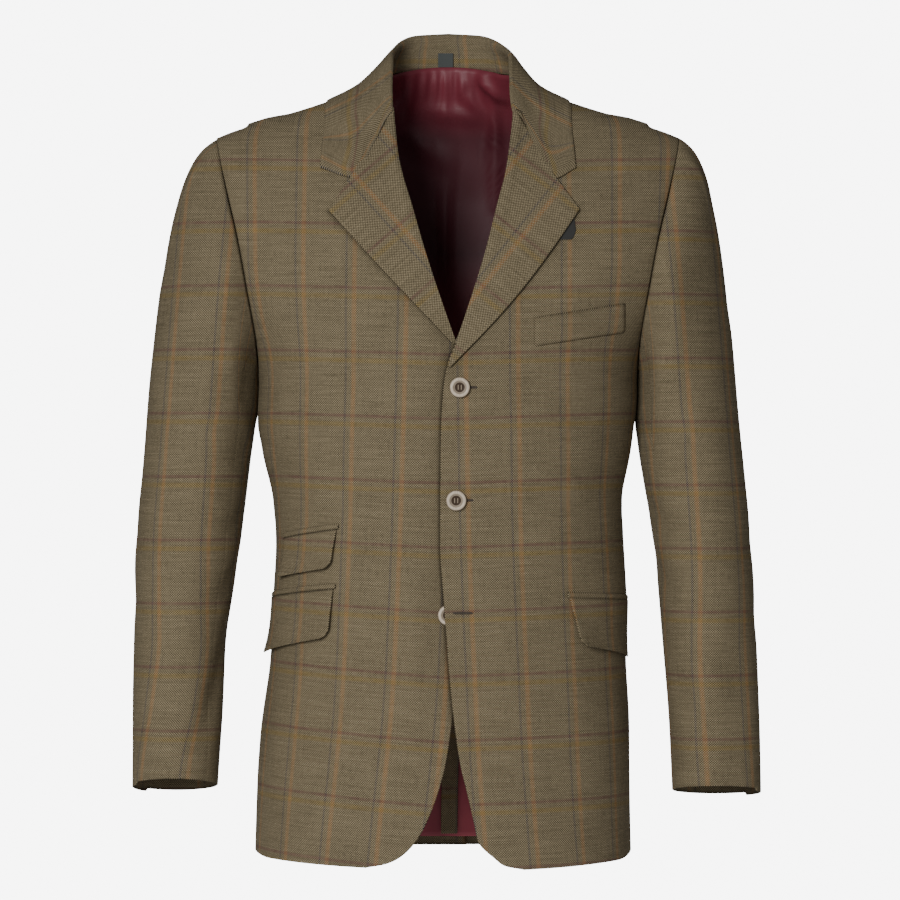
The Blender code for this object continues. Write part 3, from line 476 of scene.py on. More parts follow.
# %% [markdown]
# ## Writing materials as sums
# A woven pattern is arithmetic on u and v. Wiring dozens of Math nodes by hand is hard to read, so a
# small class wraps a socket and lets Python's own operators add the nodes.

# %% Sockets that can be added and multiplied


def maths(operation, swapped=False):
    """A method that adds one Math node, with the wire as its first value or as its last."""

    def method(self, *others):
        values = (*others, self) if swapped else (self, *others)
        return self.finish.node("ShaderNodeMath", {"operation": operation}, dict(enumerate(values)))

    return method


class Wire:
    """One output of a material's nodes. An expression on wires adds the Math nodes it needs."""

    def __init__(self, finish, socket):
        self.finish, self.socket = finish, socket

    def out(self, name):
        return Wire(self.finish, self.socket.node.outputs[name])

    def clamped(self):
        return self.finish.node("ShaderNodeClamp", {}, {0: self})

    __add__, __radd__ = maths("ADD"), maths("ADD", True)
    __sub__, __rsub__ = maths("SUBTRACT"), maths("SUBTRACT", True)
    __mul__, __rmul__ = maths("MULTIPLY"), maths("MULTIPLY", True)
    __truediv__, __pow__, __abs__ = maths("DIVIDE"), maths("POWER"), maths("ABSOLUTE")
    fraction, whole, wave = maths("FRACT"), maths("FLOOR"), maths("SINE")


class Finish:
    """A material in the making: one method adds any node."""

    def __init__(self, name, **constants):
        self.material = bpy.data.materials.new(name)
        self.material.use_nodes = True
        self.tree = self.material.node_tree
        self.shader = self.tree.nodes["Principled BSDF"]
        for key, value in constants.items():
            self.shader.inputs[key.replace("_", " ")].default_value = value

    def put(self, socket, value):
        if isinstance(value, Wire):
            self.tree.links.new(value.socket, socket)
        elif socket.type == "RGBA":
            socket.default_value = (*value[:3], 1.0)
        else:
            socket.default_value = value

    def node(self, kind, settings, inputs, output=0):
        made = self.tree.nodes.new(kind)
        for key, value in settings.items():
            setattr(made, key, value)
        for key, value in inputs.items():
            self.put(made.inputs[key], value)
        return Wire(self, made.outputs[output])

    def mix(self, share, first, second):
        return self.node("ShaderNodeMix", {"data_type": "RGBA"}, {0: share, 6: first, 7: second}, 2)

    def noise(self, place, scale, detail=2.0, rough=0.5):
        inputs = {"Vector": place, "Scale": scale, "Detail": detail, "Roughness": rough}
        return self.node("ShaderNodeTexNoise", {}, inputs)

    def cloth(self):
        """The two cloth coordinates. The place they are read from is kept for the grain."""
        self.place = self.node("ShaderNodeUVMap", {"uv_map": "cloth"}, {})
        parts = self.node("ShaderNodeSeparateXYZ", {}, {0: self.place})
        return parts, parts.out("Y")

    def grain(self, x, y, detail=2.0, rough=0.5):
        """Noise on the cloth, with its own scale along each coordinate."""
        stretched = self.node("ShaderNodeMapping", {}, {"Vector": self.place, "Scale": (x, y, 1.0)})
        return self.noise(stretched, 1.0, detail, rough)

    def surface(self, colour, roughness, height=None, strength=0.3, distance=0.0005):
        self.put(self.shader.inputs["Base Color"], colour)
        self.put(self.shader.inputs["Roughness"], roughness)
        if height is not None:
            inputs = {"Strength": strength, "Distance": distance, "Height": height}
            self.put(self.shader.inputs["Normal"], self.node("ShaderNodeBump", {}, inputs))
        return self.material


def line_mask(place, pitch, offset, half_width, soft):
    """1 on evenly spaced lines across the cloth, 0 between them."""
    off = abs(((place - offset) / pitch + 0.5).fraction() - 0.5) * pitch
    return 1 - ((off - half_width) / soft).clamped()


def ridges(place, pitch):
    """Even waves between 0 and 1."""
    return (place * (2 * math.pi / pitch)).wave() * 0.5 + 0.5


def zone(place, start, rise, end, fall):
    """1 between a start and an end, with a slope inside each."""
    return ((place - start) / rise).clamped() * ((end - place) / fall).clamped()


print("material helpers ready")

# %% [markdown]
# ## Tweed
# Tweed is woven of thick hairy yarns. Here each yarn is a rounded ridge, and a chequer of ridges
# says which one lies on top, so the weave carries both the colour and the bump. The windowpane is
# four coloured yarns: navy with orange beside it in the warp, burgundy with ochre below it in the
# weft. Each shows only where its yarn is on top, which gives the dotted lines of real cloth.

# %% Tweed
YARN, YARN_WANDER, SLUB = 0.00118, 0.0003, 22
# the darkest warp tone is also the painted shade between the yarns
WARP_DARK_AND_SHADE, WARP_PALE = (0.012, 0.010, 0.006), (0.140, 0.112, 0.062)
WEFT_DARK, WEFT_PALE = (0.118, 0.096, 0.056), (0.445, 0.360, 0.228)
NAVY, NAVY_CROSSED = (0.014, 0.018, 0.030), (0.060, 0.062, 0.070)
ORANGE, BURGUNDY, OCHRE = (0.24, 0.095, 0.020), (0.185, 0.078, 0.078), (0.34, 0.225, 0.055)
# the tone that painted shade darkens the tweed towards, in creases, at rims and beside laps
PAINTED_SHADE_TONE = (0.006, 0.005, 0.003)


def make_tweed():
    tweed = Finish("tweed", Sheen_Weight=0.02, Sheen_Roughness=0.45, Sheen_Tint=(0.75, 0.68, 0.5, 1.0),
                   Specular_IOR_Level=0.12)
    u, v = tweed.cloth()
    wander = YARN_WANDER * tweed.grain(90, 90, 1.0)
    across, down = (u + wander) / YARN, (v + wander) / YARN
    warp, weft = (1 - abs(2 * place.fraction() - 1) ** 2 for place in (across, down))
    chequer = ((across.whole() + down.whole()) / 2).fraction() * 2
    height = (1 - chequer) * warp + chequer * weft
    blotch, fleck = tweed.grain(26, 26, 3.0), tweed.grain(260, 260)
    along, down_line = tweed.grain(75, 12), tweed.grain(12, 75)
    navy = line_mask(u, CHECK_WIDTH, 0.0, 0.0007, 0.0009)
    orange = line_mask(u, CHECK_WIDTH, 0.0082, 0.0012, 0.0020)
    burgundy = line_mask(v, CHECK_LENGTH, 0.0, 0.0008, 0.0014)
    ochre = line_mask(v, CHECK_LENGTH, 0.0085, 0.0013, 0.0020)
    warp_colour = tweed.mix(tweed.grain(1 / YARN, SLUB), WARP_DARK_AND_SHADE, WARP_PALE)
    warp_colour = tweed.mix(navy * 0.80, warp_colour, NAVY)
    warp_colour = tweed.mix(orange * (0.3 + 0.75 * down_line), warp_colour, ORANGE)
    weft_colour = tweed.mix(tweed.grain(SLUB, 1 / YARN), WEFT_DARK, WEFT_PALE)
    weft_colour = tweed.mix(navy * 0.15, weft_colour, NAVY_CROSSED)
    weft_colour = tweed.mix(burgundy * (0.1 + 0.85 * along), weft_colour, BURGUNDY)
    weft_colour = tweed.mix(ochre * (0.1 + 0.6 * along), weft_colour, OCHRE)
    cloth = tweed.mix(chequer, warp_colour, weft_colour)
    # partly painted shade where the yarn dips between ridges, partly random blotches and flecks of the
    # cloth's own tone
    yarn_shade_and_mottle = (0.55 * height + 0.42 * blotch + 0.66 * fleck).clamped()
    # a point attribute of each piece paints shade: where it is high the cloth darkens towards the shade tone
    contact = tweed.node("ShaderNodeAttribute", {"attribute_name": "contact"}, {}, "Fac")
    shade = tweed.mix(contact * 0.9, tweed.mix(yarn_shade_and_mottle, WARP_DARK_AND_SHADE, cloth), PAINTED_SHADE_TONE)
    return tweed.surface(shade, 0.86 + 0.1 * height, height + 0.4 * blotch, 0.35, 0.0006)


TWEED = make_tweed()
print("tweed nodes:", len(TWEED.node_tree.nodes))

# %% [markdown]
# ## Lining, horn, trim and thread
# The lining is a smooth satin with a soft shine, so its creases show as highlights, and painted shade
# and painted light by height stand in for the light inside the jacket. Horn is cut from a layered tip:
# pale at the rim, streaked, and browner in the turned middle, with rings of painted shade at its edge and
# round the middle. The loop and the tab are ribbed tape, the tab's painted darker for the shade under the
# lapel, and the thread is a dull twisted cotton.

# %% Lining, horn, trim and thread
SATIN_DARK, SATIN_PALE = (0.090, 0.012, 0.020), (0.200, 0.034, 0.050)
# the shaded and the bright satin tones are painted shade and painted light, laid on by height
SATIN_SHADED, SATIN_LIT = (0.040, 0.011, 0.015), (0.46, 0.085, 0.115)
RIM_DARK, RIM_PALE = (0.26, 0.19, 0.12), (0.90, 0.79, 0.64)
# the well's brown is also the tone of the painted shade rings
WELL_DARK, WELL_BROWN_AND_RING_SHADE = (0.014, 0.009, 0.006), (0.075, 0.046, 0.026)
TWILL, RIB = 0.0009, 0.0009


def make_lining_satin():
    satin = Finish("lining_satin", Sheen_Weight=0.04, Sheen_Roughness=0.3,
                   Sheen_Tint=(0.8, 0.3, 0.35, 1.0), Specular_IOR_Level=0.3)
    u, v = satin.cloth()
    cloud = satin.grain(22, 9, 3.0)
    colour = satin.mix(cloud, SATIN_DARK, SATIN_PALE)
    # painted shade: the satin darkens from just below the neck to about 0.4 m down
    colour = satin.mix(zone(v, 0.0, 0.034, 0.30, 0.14) * 0.72, colour, SATIN_SHADED)
    # painted light lifts part of that shade lower down
    colour = satin.mix(zone(v, 0.15, 0.10, 0.45, 0.10) * 0.6, colour, SATIN_LIT)
    # painted light near the hem, growing with u
    low = ((v - 0.62) / 0.11).clamped()
    glow = 0.3 + 0.55 * ((u + 0.004) / 0.02).clamped()
    colour = satin.mix(low * glow, colour, SATIN_LIT)
    return satin.surface(colour, 0.34 + 0.2 * cloud, ridges(u + v, TWILL) + 3 * cloud, 0.12, 0.0004)


def make_horn():
    horn = Finish("horn", Coat_Weight=0.06, Coat_Roughness=0.25, Specular_IOR_Level=0.22)
    x, y = horn.cloth()
    radius = (x * x + y * y) ** 0.5 / BUTTON_RADIUS
    streak = horn.grain(900, 180, 4.0, 0.6)
    middle = ((0.56 - radius) / 0.10).clamped()
    # painted shade: dark rings at the outer edge and round the sunk middle
    shade_rings = ((radius - 0.90) / 0.10).clamped() + ((0.10 - abs(radius - 0.60)) / 0.10).clamped() * 0.8
    rim = horn.mix(streak ** 1.2, RIM_DARK, RIM_PALE)
    well = horn.mix(streak, WELL_DARK, WELL_BROWN_AND_RING_SHADE)
    colour = horn.mix(shade_rings.clamped() * 0.85, horn.mix(middle, rim, well), WELL_BROWN_AND_RING_SHADE)
    return horn.surface(colour, 0.28 + 0.25 * streak + 0.35 * middle, streak, 0.08, 0.0003)


def make_ribbed(name, dark, pale):
    tape = Finish(name, Sheen_Weight=0.15, Sheen_Roughness=0.5)
    u, v = tape.cloth()
    ridge, cross = ridges(v, RIB), ridges(u, RIB * 0.8)
    grain = tape.grain(700, 700)
    colour = tape.mix((ridge * 0.45 + cross * 0.15 + grain * 0.5).clamped(), dark, pale)
    return tape.surface(colour, 0.75 + 0.15 * grain, ridge + 0.4 * cross, 0.4, 0.0003)


def make_thread(name, dark, pale):
    thread = Finish(name, Sheen_Weight=0.2)
    fuzz = thread.noise(thread.node("ShaderNodeTexCoord", {}, {}, "Object"), 2600.0)
    return thread.surface(thread.mix(fuzz, dark, pale), 0.7 + 0.2 * fuzz, fuzz, 0.3, 0.0002)


LINING_SATIN = make_lining_satin()
HORN = make_horn()
SLATE_TAPE = make_ribbed("slate_tape", (0.018, 0.021, 0.021), (0.075, 0.084, 0.080))
# the tab's tape is the slate tape painted darker for the shade it lies in under the lapel
SHADED_SLATE_TAPE = make_ribbed("dark_tape", (0.010, 0.010, 0.010), (0.034, 0.033, 0.030))
KHAKI_THREAD = make_thread("khaki_thread", (0.055, 0.045, 0.022), (0.20, 0.165, 0.09))
BROWN_THREAD = make_thread("brown_thread", (0.016, 0.011, 0.008), (0.07, 0.05, 0.032))
PALE_THREAD = make_thread("pale_thread", (0.16, 0.12, 0.08), (0.42, 0.34, 0.25))
print("materials:", [m.name for m in bpy.data.materials if m.name[0].islower()][:8])

# %% [markdown]
# ## From a grid of points to a piece of cloth
# A panel is a grid of points for its face and one for its back. Joining both round the rim gives a
# closed wall as thick as real cloth. One extra line of points halfway round the rim lets free edges
# swell like a pressed, turned edge, while sewn edges stay flat so that neighbours can meet.

# %% Cloth walls
# RIM_SHADE is painted shade on the halfway line and on the back edge of every rim
RIM_SHADE, RIM_SWELL = (0.35, 0.8), 0.4
LEAST_CUT, LEAST_FILL = 0.0105, 0.301
CUTS, GRIDS = {}, {}


def grid_normals(grid, wrap=False):
    """Unit normals of a grid of points, along its rows times along its columns."""
    if wrap:
        along = np.roll(grid, -1, axis=1) - np.roll(grid, 1, axis=1)
    else:
        along = np.gradient(grid, axis=1)
    return unit(np.cross(along, np.gradient(grid, axis=0)))


def linked(name, data):
    """A new object, put in the scene."""
    made = bpy.data.objects.new(name, data)
    bpy.context.scene.collection.objects.link(made)
    return made


def cloth_wall(name, outer, inner, cloth, material, free, contact):
    """A mesh wall between two grids. free names the rims (top low start end) that swell."""
    rows, columns = outer.shape[:2]
    count = rows * columns
    index = np.arange(count).reshape(rows, columns)
    rim = np.concatenate([index[0], index[1:, -1], index[-1, -2::-1], index[-2:0:-1, 0]])
    r, c = np.unravel_index(rim, (rows, columns))
    rims = {"top": r == 0, "low": r == rows - 1, "start": c == 0, "end": c == columns - 1}
    swell = np.any([rims[word] for word in free.split()], axis=0)[:, None]
    through = outer[r, c] - inner[r, c]
    thick = np.linalg.norm(through, axis=1, keepdims=True)
    through = through / thick
    out = outer[r, c] - outer[np.clip(r, 1, rows - 2), np.clip(c, 1, columns - 2)]
    out = unit(out - np.sum(out * through, axis=1, keepdims=True) * through)
    middle = (outer[r, c] + inner[r, c]) / 2 + RIM_SWELL * swell * thick * out
    points = np.concatenate([outer.reshape(-1, 3), inner.reshape(-1, 3), middle])
    corners = index[:-1, :-1], index[:-1, 1:], index[1:, 1:], index[1:, :-1]
    face = np.stack(corners, axis=-1).reshape(-1, 4)
    halfway = 2 * count + np.arange(len(rim))
    following, half_next = np.roll(rim, -1), np.roll(halfway, -1)
    near = np.stack([following, rim, halfway, half_next], axis=1)
    far = np.stack([half_next, halfway, rim + count, following + count], axis=1)
    faces = np.concatenate([face, face[:, ::-1] + count, near, far])
    mesh = bpy.data.meshes.new(name)
    mesh.from_pydata(points.tolist(), [], faces.tolist())
    flat = np.concatenate([cloth.reshape(-1, 2), cloth.reshape(-1, 2), cloth[r, c]])
    layer = mesh.uv_layers.new(name="cloth")
    layer.data.foreach_set("uv", flat[faces.reshape(-1)].astype(np.float32).ravel())
    shade = np.zeros(len(points), dtype=np.float32)
    # painted shade round each rim
    shade[halfway], shade[rim + count] = RIM_SHADE
    # the given values paint shade on the face points
    if contact is not None:
        shade[:count] = contact.ravel()
    mesh.attributes.new("contact", "FLOAT", "POINT").data.foreach_set("value", shade)
    work = bmesh.new()
    work.from_mesh(mesh)
    bmesh.ops.recalc_face_normals(work, faces=work.faces)
    work.to_mesh(mesh)
    work.free()
    mesh.shade_smooth()
    mesh.materials.append(material)
    return linked(name, mesh)


def add_piece(piece, slot, *nodes):
    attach(piece, "root")
    if nodes:
        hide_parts(*nodes)
    return piece


def cut_size(grid):
    """Width, length and area of the flat cut that a grid of cloth was made from."""
    width = step_lengths(grid, 1).sum(axis=1).max()
    length = step_lengths(grid, 0).sum(axis=0).max()
    a, b = grid[1:, 1:] - grid[:-1, :-1], grid[1:, :-1] - grid[:-1, 1:]
    area = np.linalg.norm(np.cross(a, b), axis=-1).sum() / 2
    return float(width), float(length), float(min(area, width * length))


def add_cloth(name, faces, cloth, nodes, free, contact=None, made_of=(TWEED, "tweed")):
    """Make a cloth piece, put it on the jacket and say how large its flat cut was."""
    material, slot = made_of
    piece = add_piece(cloth_wall(name, *faces, cloth, material, free, contact), slot, *nodes)
    width, length, area = cut_size(faces[0])
    length = max(length, LEAST_CUT)  # a narrow strip is cut with the edges that are turned in
    CUTS[name] = (round(width, 3), round(length, 3), round(area, 4))
    GRIDS[name] = faces
    return piece


def between(stops, counts):
    """Columns spaced evenly between given columns."""
    columns = [stops[0]]
    for first, last, count in zip(stops, stops[1:], counts):
        columns += [first + (last - first) * share for share in np.linspace(0, 1, count + 1)[1:]]
    return np.stack(columns, axis=1)


print("cloth helpers ready")

# %% [markdown]
# ## Fronts
# Each front is one cut from the shoulder to the rounded quarter. Its rows are level and close enough
# for creases, and its columns crowd towards the lapped edge.

# %% Fronts
SEAM_PRESS, FRONT_COLUMNS = 0.0007, (14, 20, 58)
LAP_SHADE, LAP_SHADE_NEAR, LAP_SHADE_WIDE = 0.85, 0.0036, 0.009
LAPEL_SHADE, LAPEL_SHADE_NEAR, LAPEL_SHADE_WIDE = {LEFT: 0.4, RIGHT: 0.6}, 0.0032, 0.011
LAPEL_FOOT = {LEFT: BREAK_HEIGHT - 0.024, RIGHT: BREAK_HEIGHT - 0.002}
LAPEL_FOOT_OUT, LAPEL_FOLD_OUT, LAPEL_SHADE_FOOT = 0.001, 0.0006, 0.65
LAP_SHADE_TOP, LAP_SHADE_LOW = BREAK_HEIGHT + 0.01, -0.68
RIDGE_PAST_PLEAT, RIDGE_STEP, RIDGE_REACH, RIDGE_LOWEST = 0.004, 0.005, 0.035, -0.06
# the least distance of a column from the edge, and its largest share of the room
FRONT_STOPS = (0.012, 0.2), (0.03, 0.4)
QUARTER_DROP, QUARTER_HEIGHT = {LEFT: 0.006, RIGHT: 0.004}, 0.046
QUARTER_DROP_HEIGHT, QUARTER_DROP_ANGLE, EASE_ANGLE = 0.12, 0.4, 0.9
SIDE_EASE = Table("height left right", [
    (-0.26, 0.0, 0.0), (-0.28, 0.0010, 0.0010), (-0.30, 0.0028, 0.0032), (-0.315, 0.0025, 0.0050),
    (-0.325, 0.0015, 0.0055), (-0.345, 0.0005, 0.0035), (-0.36, 0.0, 0.0028), (-0.385, 0.0, 0.0018),
    (-0.41, 0.0010, 0.0008), (-0.43, 0.0030, 0.0), (-0.46, 0.0045, 0.0), (-0.49, 0.0042, 0.0),
    (-0.52, 0.0028, 0.0), (-0.56, 0.0008, 0.0005), (-0.60, -0.0005, 0.0018), (-0.64, -0.0015, 0.0030),
    (-0.68, -0.0012, 0.0040), (-0.76, 0.0, 0.0040),
])
FRONT_HEIGHTS = np.concatenate([
    SHOULDER_HEIGHTS, ARM_HEIGHTS, np.linspace(ARM_BOTTOM, HEM_HEIGHT + QUARTER_HEIGHT, 112)[1:-1],
    HEM_HEIGHT + QUARTER_HEIGHT * (1 - np.sin(np.linspace(0, np.pi / 2, 22))),
])


def seam_press(distance, reach):
    """How far the face of a panel sinks beside its sewn edge."""
    return SEAM_PRESS * bell(distance, reach)


def part_seam(faces, sewn, way):
    """Draw the last column of a panel to its own side of a seam, in the rows where it is sewn."""
    for face in faces:
        face[:, -1, 1] += way * np.where(sewn, SEAM_GAP / 2, 0.0)
    return faces


def pleat_lift(across, height):
    """How far the fold of the action pleat stands off the body."""
    ramp = PLEAT.at("across", height) - PLEAT_FLAT - PLEAT_RAMP
    return PLEAT.at("lift", height) * smooth((across - ramp) / PLEAT_RAMP)


def shoulder_ridge(angle, height):
    """The front's rise beside the shoulder seam, up to the step where the back's pleat starts."""
    across, behind, _ = np.moveaxis(body_point(angle, height), -1, 0)
    step = smooth((PLEAT.at("across", height) + RIDGE_PAST_PLEAT - across) / RIDGE_STEP)
    near_seam = smooth(1 - np.abs(behind) / RIDGE_REACH) * (height > RIDGE_LOWEST)
    return pleat_lift(across, height) * step * near_seam


def side_ease(side, angle, height):
    """How much fuller than the body form a side hangs, under the arm and down to the hem."""
    return SIDE_EASE.at(side_name(side), height) * smooth(1 - np.abs(angle) / EASE_ANGLE)


def lap_shade(across, height):
    """How much painted shade darkens the right front in the crease beside the left one's lapped edge."""
    beside = np.maximum(across + front_edge(LEFT, height), 0.0)
    lapped = smooth((LAP_SHADE_TOP - height) / 0.02) * smooth((height - LAP_SHADE_LOW) / 0.06)
    wide = 0.20 + 0.30 * smooth((height - BREAK_HEIGHT + 0.07) / 0.06)
    near = LAP_SHADE * bell(beside, LAP_SHADE_NEAR)
    return np.maximum(near, wide * bell(beside, LAP_SHADE_WIDE)) * lapped


def lapel_fold(side, height):
    """Where a lapel turns back: the roll line down to the break, then the front's own edge."""
    edge = EDGE.at(side_name(side), height) + LAPEL_FOLD_OUT
    return np.where(height > BREAK_HEIGHT, roll_line(side, height), edge)


def lapel_shade(side, across, height):
    """How much painted shade darkens a front in the crease beside the outer edge of its lapel."""
    point, foot = np.array(LAPEL[side]["point"]), LAPEL_FOOT[side]
    along = np.array([lapel_fold(side, foot) + LAPEL_FOOT_OUT, foot]) - point
    length = np.linalg.norm(along)
    along = along / length
    place = np.stack([across, height], axis=-1) - point
    run = place @ along
    share = np.clip(run / length, 0, 1)
    aside = place @ np.array([-along[1], along[0]]) - LAPEL[side]["belly"] * np.sin(np.pi * share)
    beside = np.hypot(aside, run - share * length)
    wide = LAPEL_SHADE_FOOT * share ** 2 * bell(beside, LAPEL_SHADE_WIDE)
    return LAPEL_SHADE[side] * np.maximum(bell(beside, LAPEL_SHADE_NEAR), wide)


def make_front(side):
    heights, name = FRONT_HEIGHTS, side_name(side)
    outer_angle = np.where(heights > ARM_TOP, 0.0, armhole_angle(heights))
    edge = front_edge(side, heights)
    room = BODY.at("half_width", heights) - edge
    stops = [edge]
    for wanted, (least, share) in zip((LAP_FLAT, LAP_FLAT + LAP_RAMP), FRONT_STOPS):
        stops.append(np.minimum(np.maximum(wanted, edge + least), edge + share * room))
    angle = between([angle_at(stop, heights) for stop in stops] + [outer_angle], FRONT_COLUMNS)
    low = smooth((HEM_RISE_FROM - heights[:, None]) / QUARTER_DROP_HEIGHT)
    drop = QUARTER_DROP[side] * low * smooth(angle / QUARTER_DROP_ANGLE)
    height = settle(angle, heights[:, None]) - drop
    across = across_at(angle, height)
    lift = front_lift(side, across, height) + shoulder_ridge(angle, height) + side_ease(side, angle, height)
    press = seam_press(np.linspace(1, 0, angle.shape[1]), 0.02)
    faces = part_seam(panel(side, angle, height, lift, (press, CLOTH)), outer_angle == 0.0, -1)
    shade = lapel_shade(side, across, height)
    if side == RIGHT:
        shade = np.maximum(shade, lap_shade(across, height))
    return add_cloth(f"front_{name}_cloth", faces, front_cloth(side, angle, height), [f"front_{name}"],
                     "start low", shade)


for side in (LEFT, RIGHT):
    print(make_front(side).name, CUTS[f"front_{side_name(side)}_cloth"])

# %% [markdown]
# ## Backs and back sides
# The back is cut in halves with a lapped vent at the hem. Above the waist each half folds over the
# back side in an action pleat, which gives the shooting arm room, so its outer rim is a free fold.

# %% Backs
BACK_COLUMNS, BACK_SIDE_COLUMNS, BACK_WAVES = (8, 7, 24, 18), 40, 0.0008
VENT_SHADE_NEAR, PLEAT_SHADE_NEAR, PLEAT_SHADE_LIFT, BACK_SHADE = 0.003, 0.004, 0.003, 0.8
BACK_STOPS, FOLD_FROM, FOLD_EASE = (0.012, 0.034), 0.045, 0.07
BACK_HEIGHTS = np.concatenate([
    SHOULDER_HEIGHTS, ARM_HEIGHTS, np.linspace(ARM_BOTTOM, VENT_TOP, 66)[1:],
    VENT_TOP - 0.001 + np.linspace(0, HEM_HEIGHT - VENT_TOP + 0.001, 44),
])


def back_drape(angle, height):
    waves = BACK_WAVES * slow_waves(angle * 0.2, height * 0.5, 5, 0.12)
    return waves * smooth((-0.05 - height) / 0.1)


def vent_shade(across, height):
    """How much painted shade darkens the right back in the crease beside the left one's vent edge."""
    beside = np.maximum(across - VENT_LAP, 0.0)
    return BACK_SHADE * bell(beside, VENT_SHADE_NEAR) * smooth((VENT_TOP - height) / 0.01)


def pleat_shade(across, height):
    """How much painted shade darkens the back side in the crease under the fold of the action pleat."""
    beside = np.maximum(across - PLEAT.at("across", height), 0.0)
    lifted = np.clip(PLEAT.at("lift", height) / PLEAT_SHADE_LIFT, 0, 1)
    return BACK_SHADE * bell(beside, PLEAT_SHADE_NEAR) * lifted


def make_back(side):
    heights, name = BACK_HEIGHTS, side_name(side)
    edge = np.where(heights < VENT_TOP, -VENT_LAP, SEAM_GAP / 2)
    outer = np.minimum(PLEAT.at("across", heights), BODY.at("half_width", heights))
    fold = outer - (PLEAT_FLAT + PLEAT_RAMP) * np.clip((outer - FOLD_FROM) / FOLD_EASE, 0.0, 1.0)
    angle = between([-angle_at(x, heights) for x in (edge, *BACK_STOPS, fold, outer)], BACK_COLUMNS)
    height = settle(angle, heights[:, None])
    across = across_at(angle, height)
    lift, shade = pleat_lift(across, height) + back_drape(angle, height), None
    if side == RIGHT:
        lift, shade = lift - vent_sink(across, height), vent_shade(across, height)
    press = seam_press(across - 2 * SEAM_GAP, 0.003) * (heights > VENT_TOP)[:, None]
    faces = panel(side, angle, height, lift, (press, CLOTH))
    faces = part_seam(faces, np.isclose(angle[:, -1], 0.0), 1)
    return add_cloth(f"back_{name}_cloth", faces, back_cloth(side, angle, height), [f"back_{name}"],
                     "low end", shade)


def make_back_side(side):
    heights, name = BACK_HEIGHTS[BACK_HEIGHTS < PLEAT_TOP], side_name(side)
    outer = np.where(heights > ARM_TOP, 0.0, -armhole_angle(heights))
    inner = -angle_at(PLEAT.at("across", heights) - PLEAT.at("overlap", heights), heights)
    angle = between([inner, outer], (BACK_SIDE_COLUMNS,))
    height = settle(angle, heights[:, None])
    drape = back_drape(angle, height) + side_ease(side, angle, height)
    press = seam_press(np.linspace(1, 0, BACK_SIDE_COLUMNS + 1), 0.03)
    faces = part_seam(panel(side, angle, height, drape, (press, CLOTH)), outer == 0.0, 1)
    return add_cloth(f"back_side_{name}_cloth", faces, back_cloth(side, angle, height), [f"back_side_{name}"],
                     "low",
                     pleat_shade(across_at(angle, height), height))


for side in (LEFT, RIGHT):
    print(make_back(side).name, make_back_side(side).name, CUTS[f"back_{side_name(side)}_cloth"])

# %% [markdown]
# ## Sleeves
# A tailored sleeve is sewn of a wide top piece and a narrow under piece. Its rings start on the armhole
# seam, curve over the sleeve head and become level rounds down to the cuff, so the cloth runs on
# smoothly where a separate cap would show a joint. Creases are placed by cloth length and height.

# %% Sleeve rings
# how much nearer level the cuff is than in the solids, front edge kept
CUFF_LEVEL = {LEFT: 0.0018, RIGHT: 0.0}
FRONT_SEAM, BACK_SEAM, AROUND_COUNT = 56, 112, 2 * ARM_STEPS
HEAD_RINGS, ARM_RINGS = 45, 96
AROUND = np.linspace(0, 2 * np.pi, AROUND_COUNT, endpoint=False)


def armhole_loop():
    """Points, normals and out-of-panel directions round an armhole, from its top by the front."""
    front = armhole_angle(ARM_HEIGHTS)
    angle = np.concatenate([front, -front[-2:0:-1]])
    height = np.concatenate([ARM_HEIGHTS, ARM_HEIGHTS[-2:0:-1]])
    down = np.linspace(0, 1, ARM_STEPS + 1)
    fraction = np.concatenate([down, down[-2:0:-1]])
    points = body_point(angle, settle(angle, height))
    normal = outward(points)
    out = unit(np.cross(np.roll(points, -1, axis=0) - np.roll(points, 1, axis=0), normal))
    facing = np.sum(out * (HOLE_MIDDLE - points), axis=1, keepdims=True)
    return fraction, points, normal, out * np.sign(facing)


def sleeve_section(side, height):
    """Points of the sleeve's level sections, one column for each point of the armhole loop."""
    outer, inner = (SLEEVE.at(f"{edge}_{side_name(side)}", height) for edge in ("outer", "inner"))
    x = (outer + inner) / 2 + (outer - inner) / 2 * np.cos(AROUND)
    y = SLEEVE.at("middle", height) - SLEEVE.at("half_depth", height) * np.sin(AROUND)
    return np.stack(np.broadcast_arrays(x, y, height), axis=-1)


def sleeve_rings(side):
    """Rings of a sleeve: curves from the armhole to the upper arm, then sections to the cuff."""
    fraction, points, normal, out = armhole_loop()
    turn = np.radians(SLEEVE_HEAD.at("turn", fraction))[:, None]
    handle = SLEEVE_HEAD.at("handle", fraction)[:, None] * HEAD_FULLNESS[side]
    start = points + SEAM_GAP * out + SEAM_GAP * (1 - np.cos(turn)) / 2 * normal
    leave = np.cos(turn) * out + np.sin(turn) * normal
    arm, below = (sleeve_section(side, np.full(AROUND_COUNT, UPPER_ARM - drop)) for drop in (0, 0.02))
    reach = ARM_REACH * np.linalg.norm(arm - start, axis=1, keepdims=True)
    t = np.linspace(0, 1, HEAD_RINGS + 1)[:-1, None, None]
    u = 1 - t
    head = (u ** 3 * start + 3 * u * u * t * (start + handle * leave)
            + 3 * u * t * t * (arm + reach * unit(arm - below)) + t ** 3 * arm)
    cuff = CUFF_HEIGHT[side] + CUFF_LEVEL[side] + (CUFF_DROP_BEHIND - CUFF_LEVEL[side]) * np.sin(AROUND)
    share = np.linspace(0, 1, ARM_RINGS)[:, None]
    rings = np.concatenate([head, sleeve_section(side, UPPER_ARM + share * (cuff - UPPER_ARM))])
    normals = grid_normals(rings, wrap=True)
    lean = np.maximum(turn, 0.0)
    normals[0] = np.cos(lean) * normal - np.sin(lean) * out
    return rings, normals


print("sleeve rings:", sleeve_rings(LEFT)[0].shape)

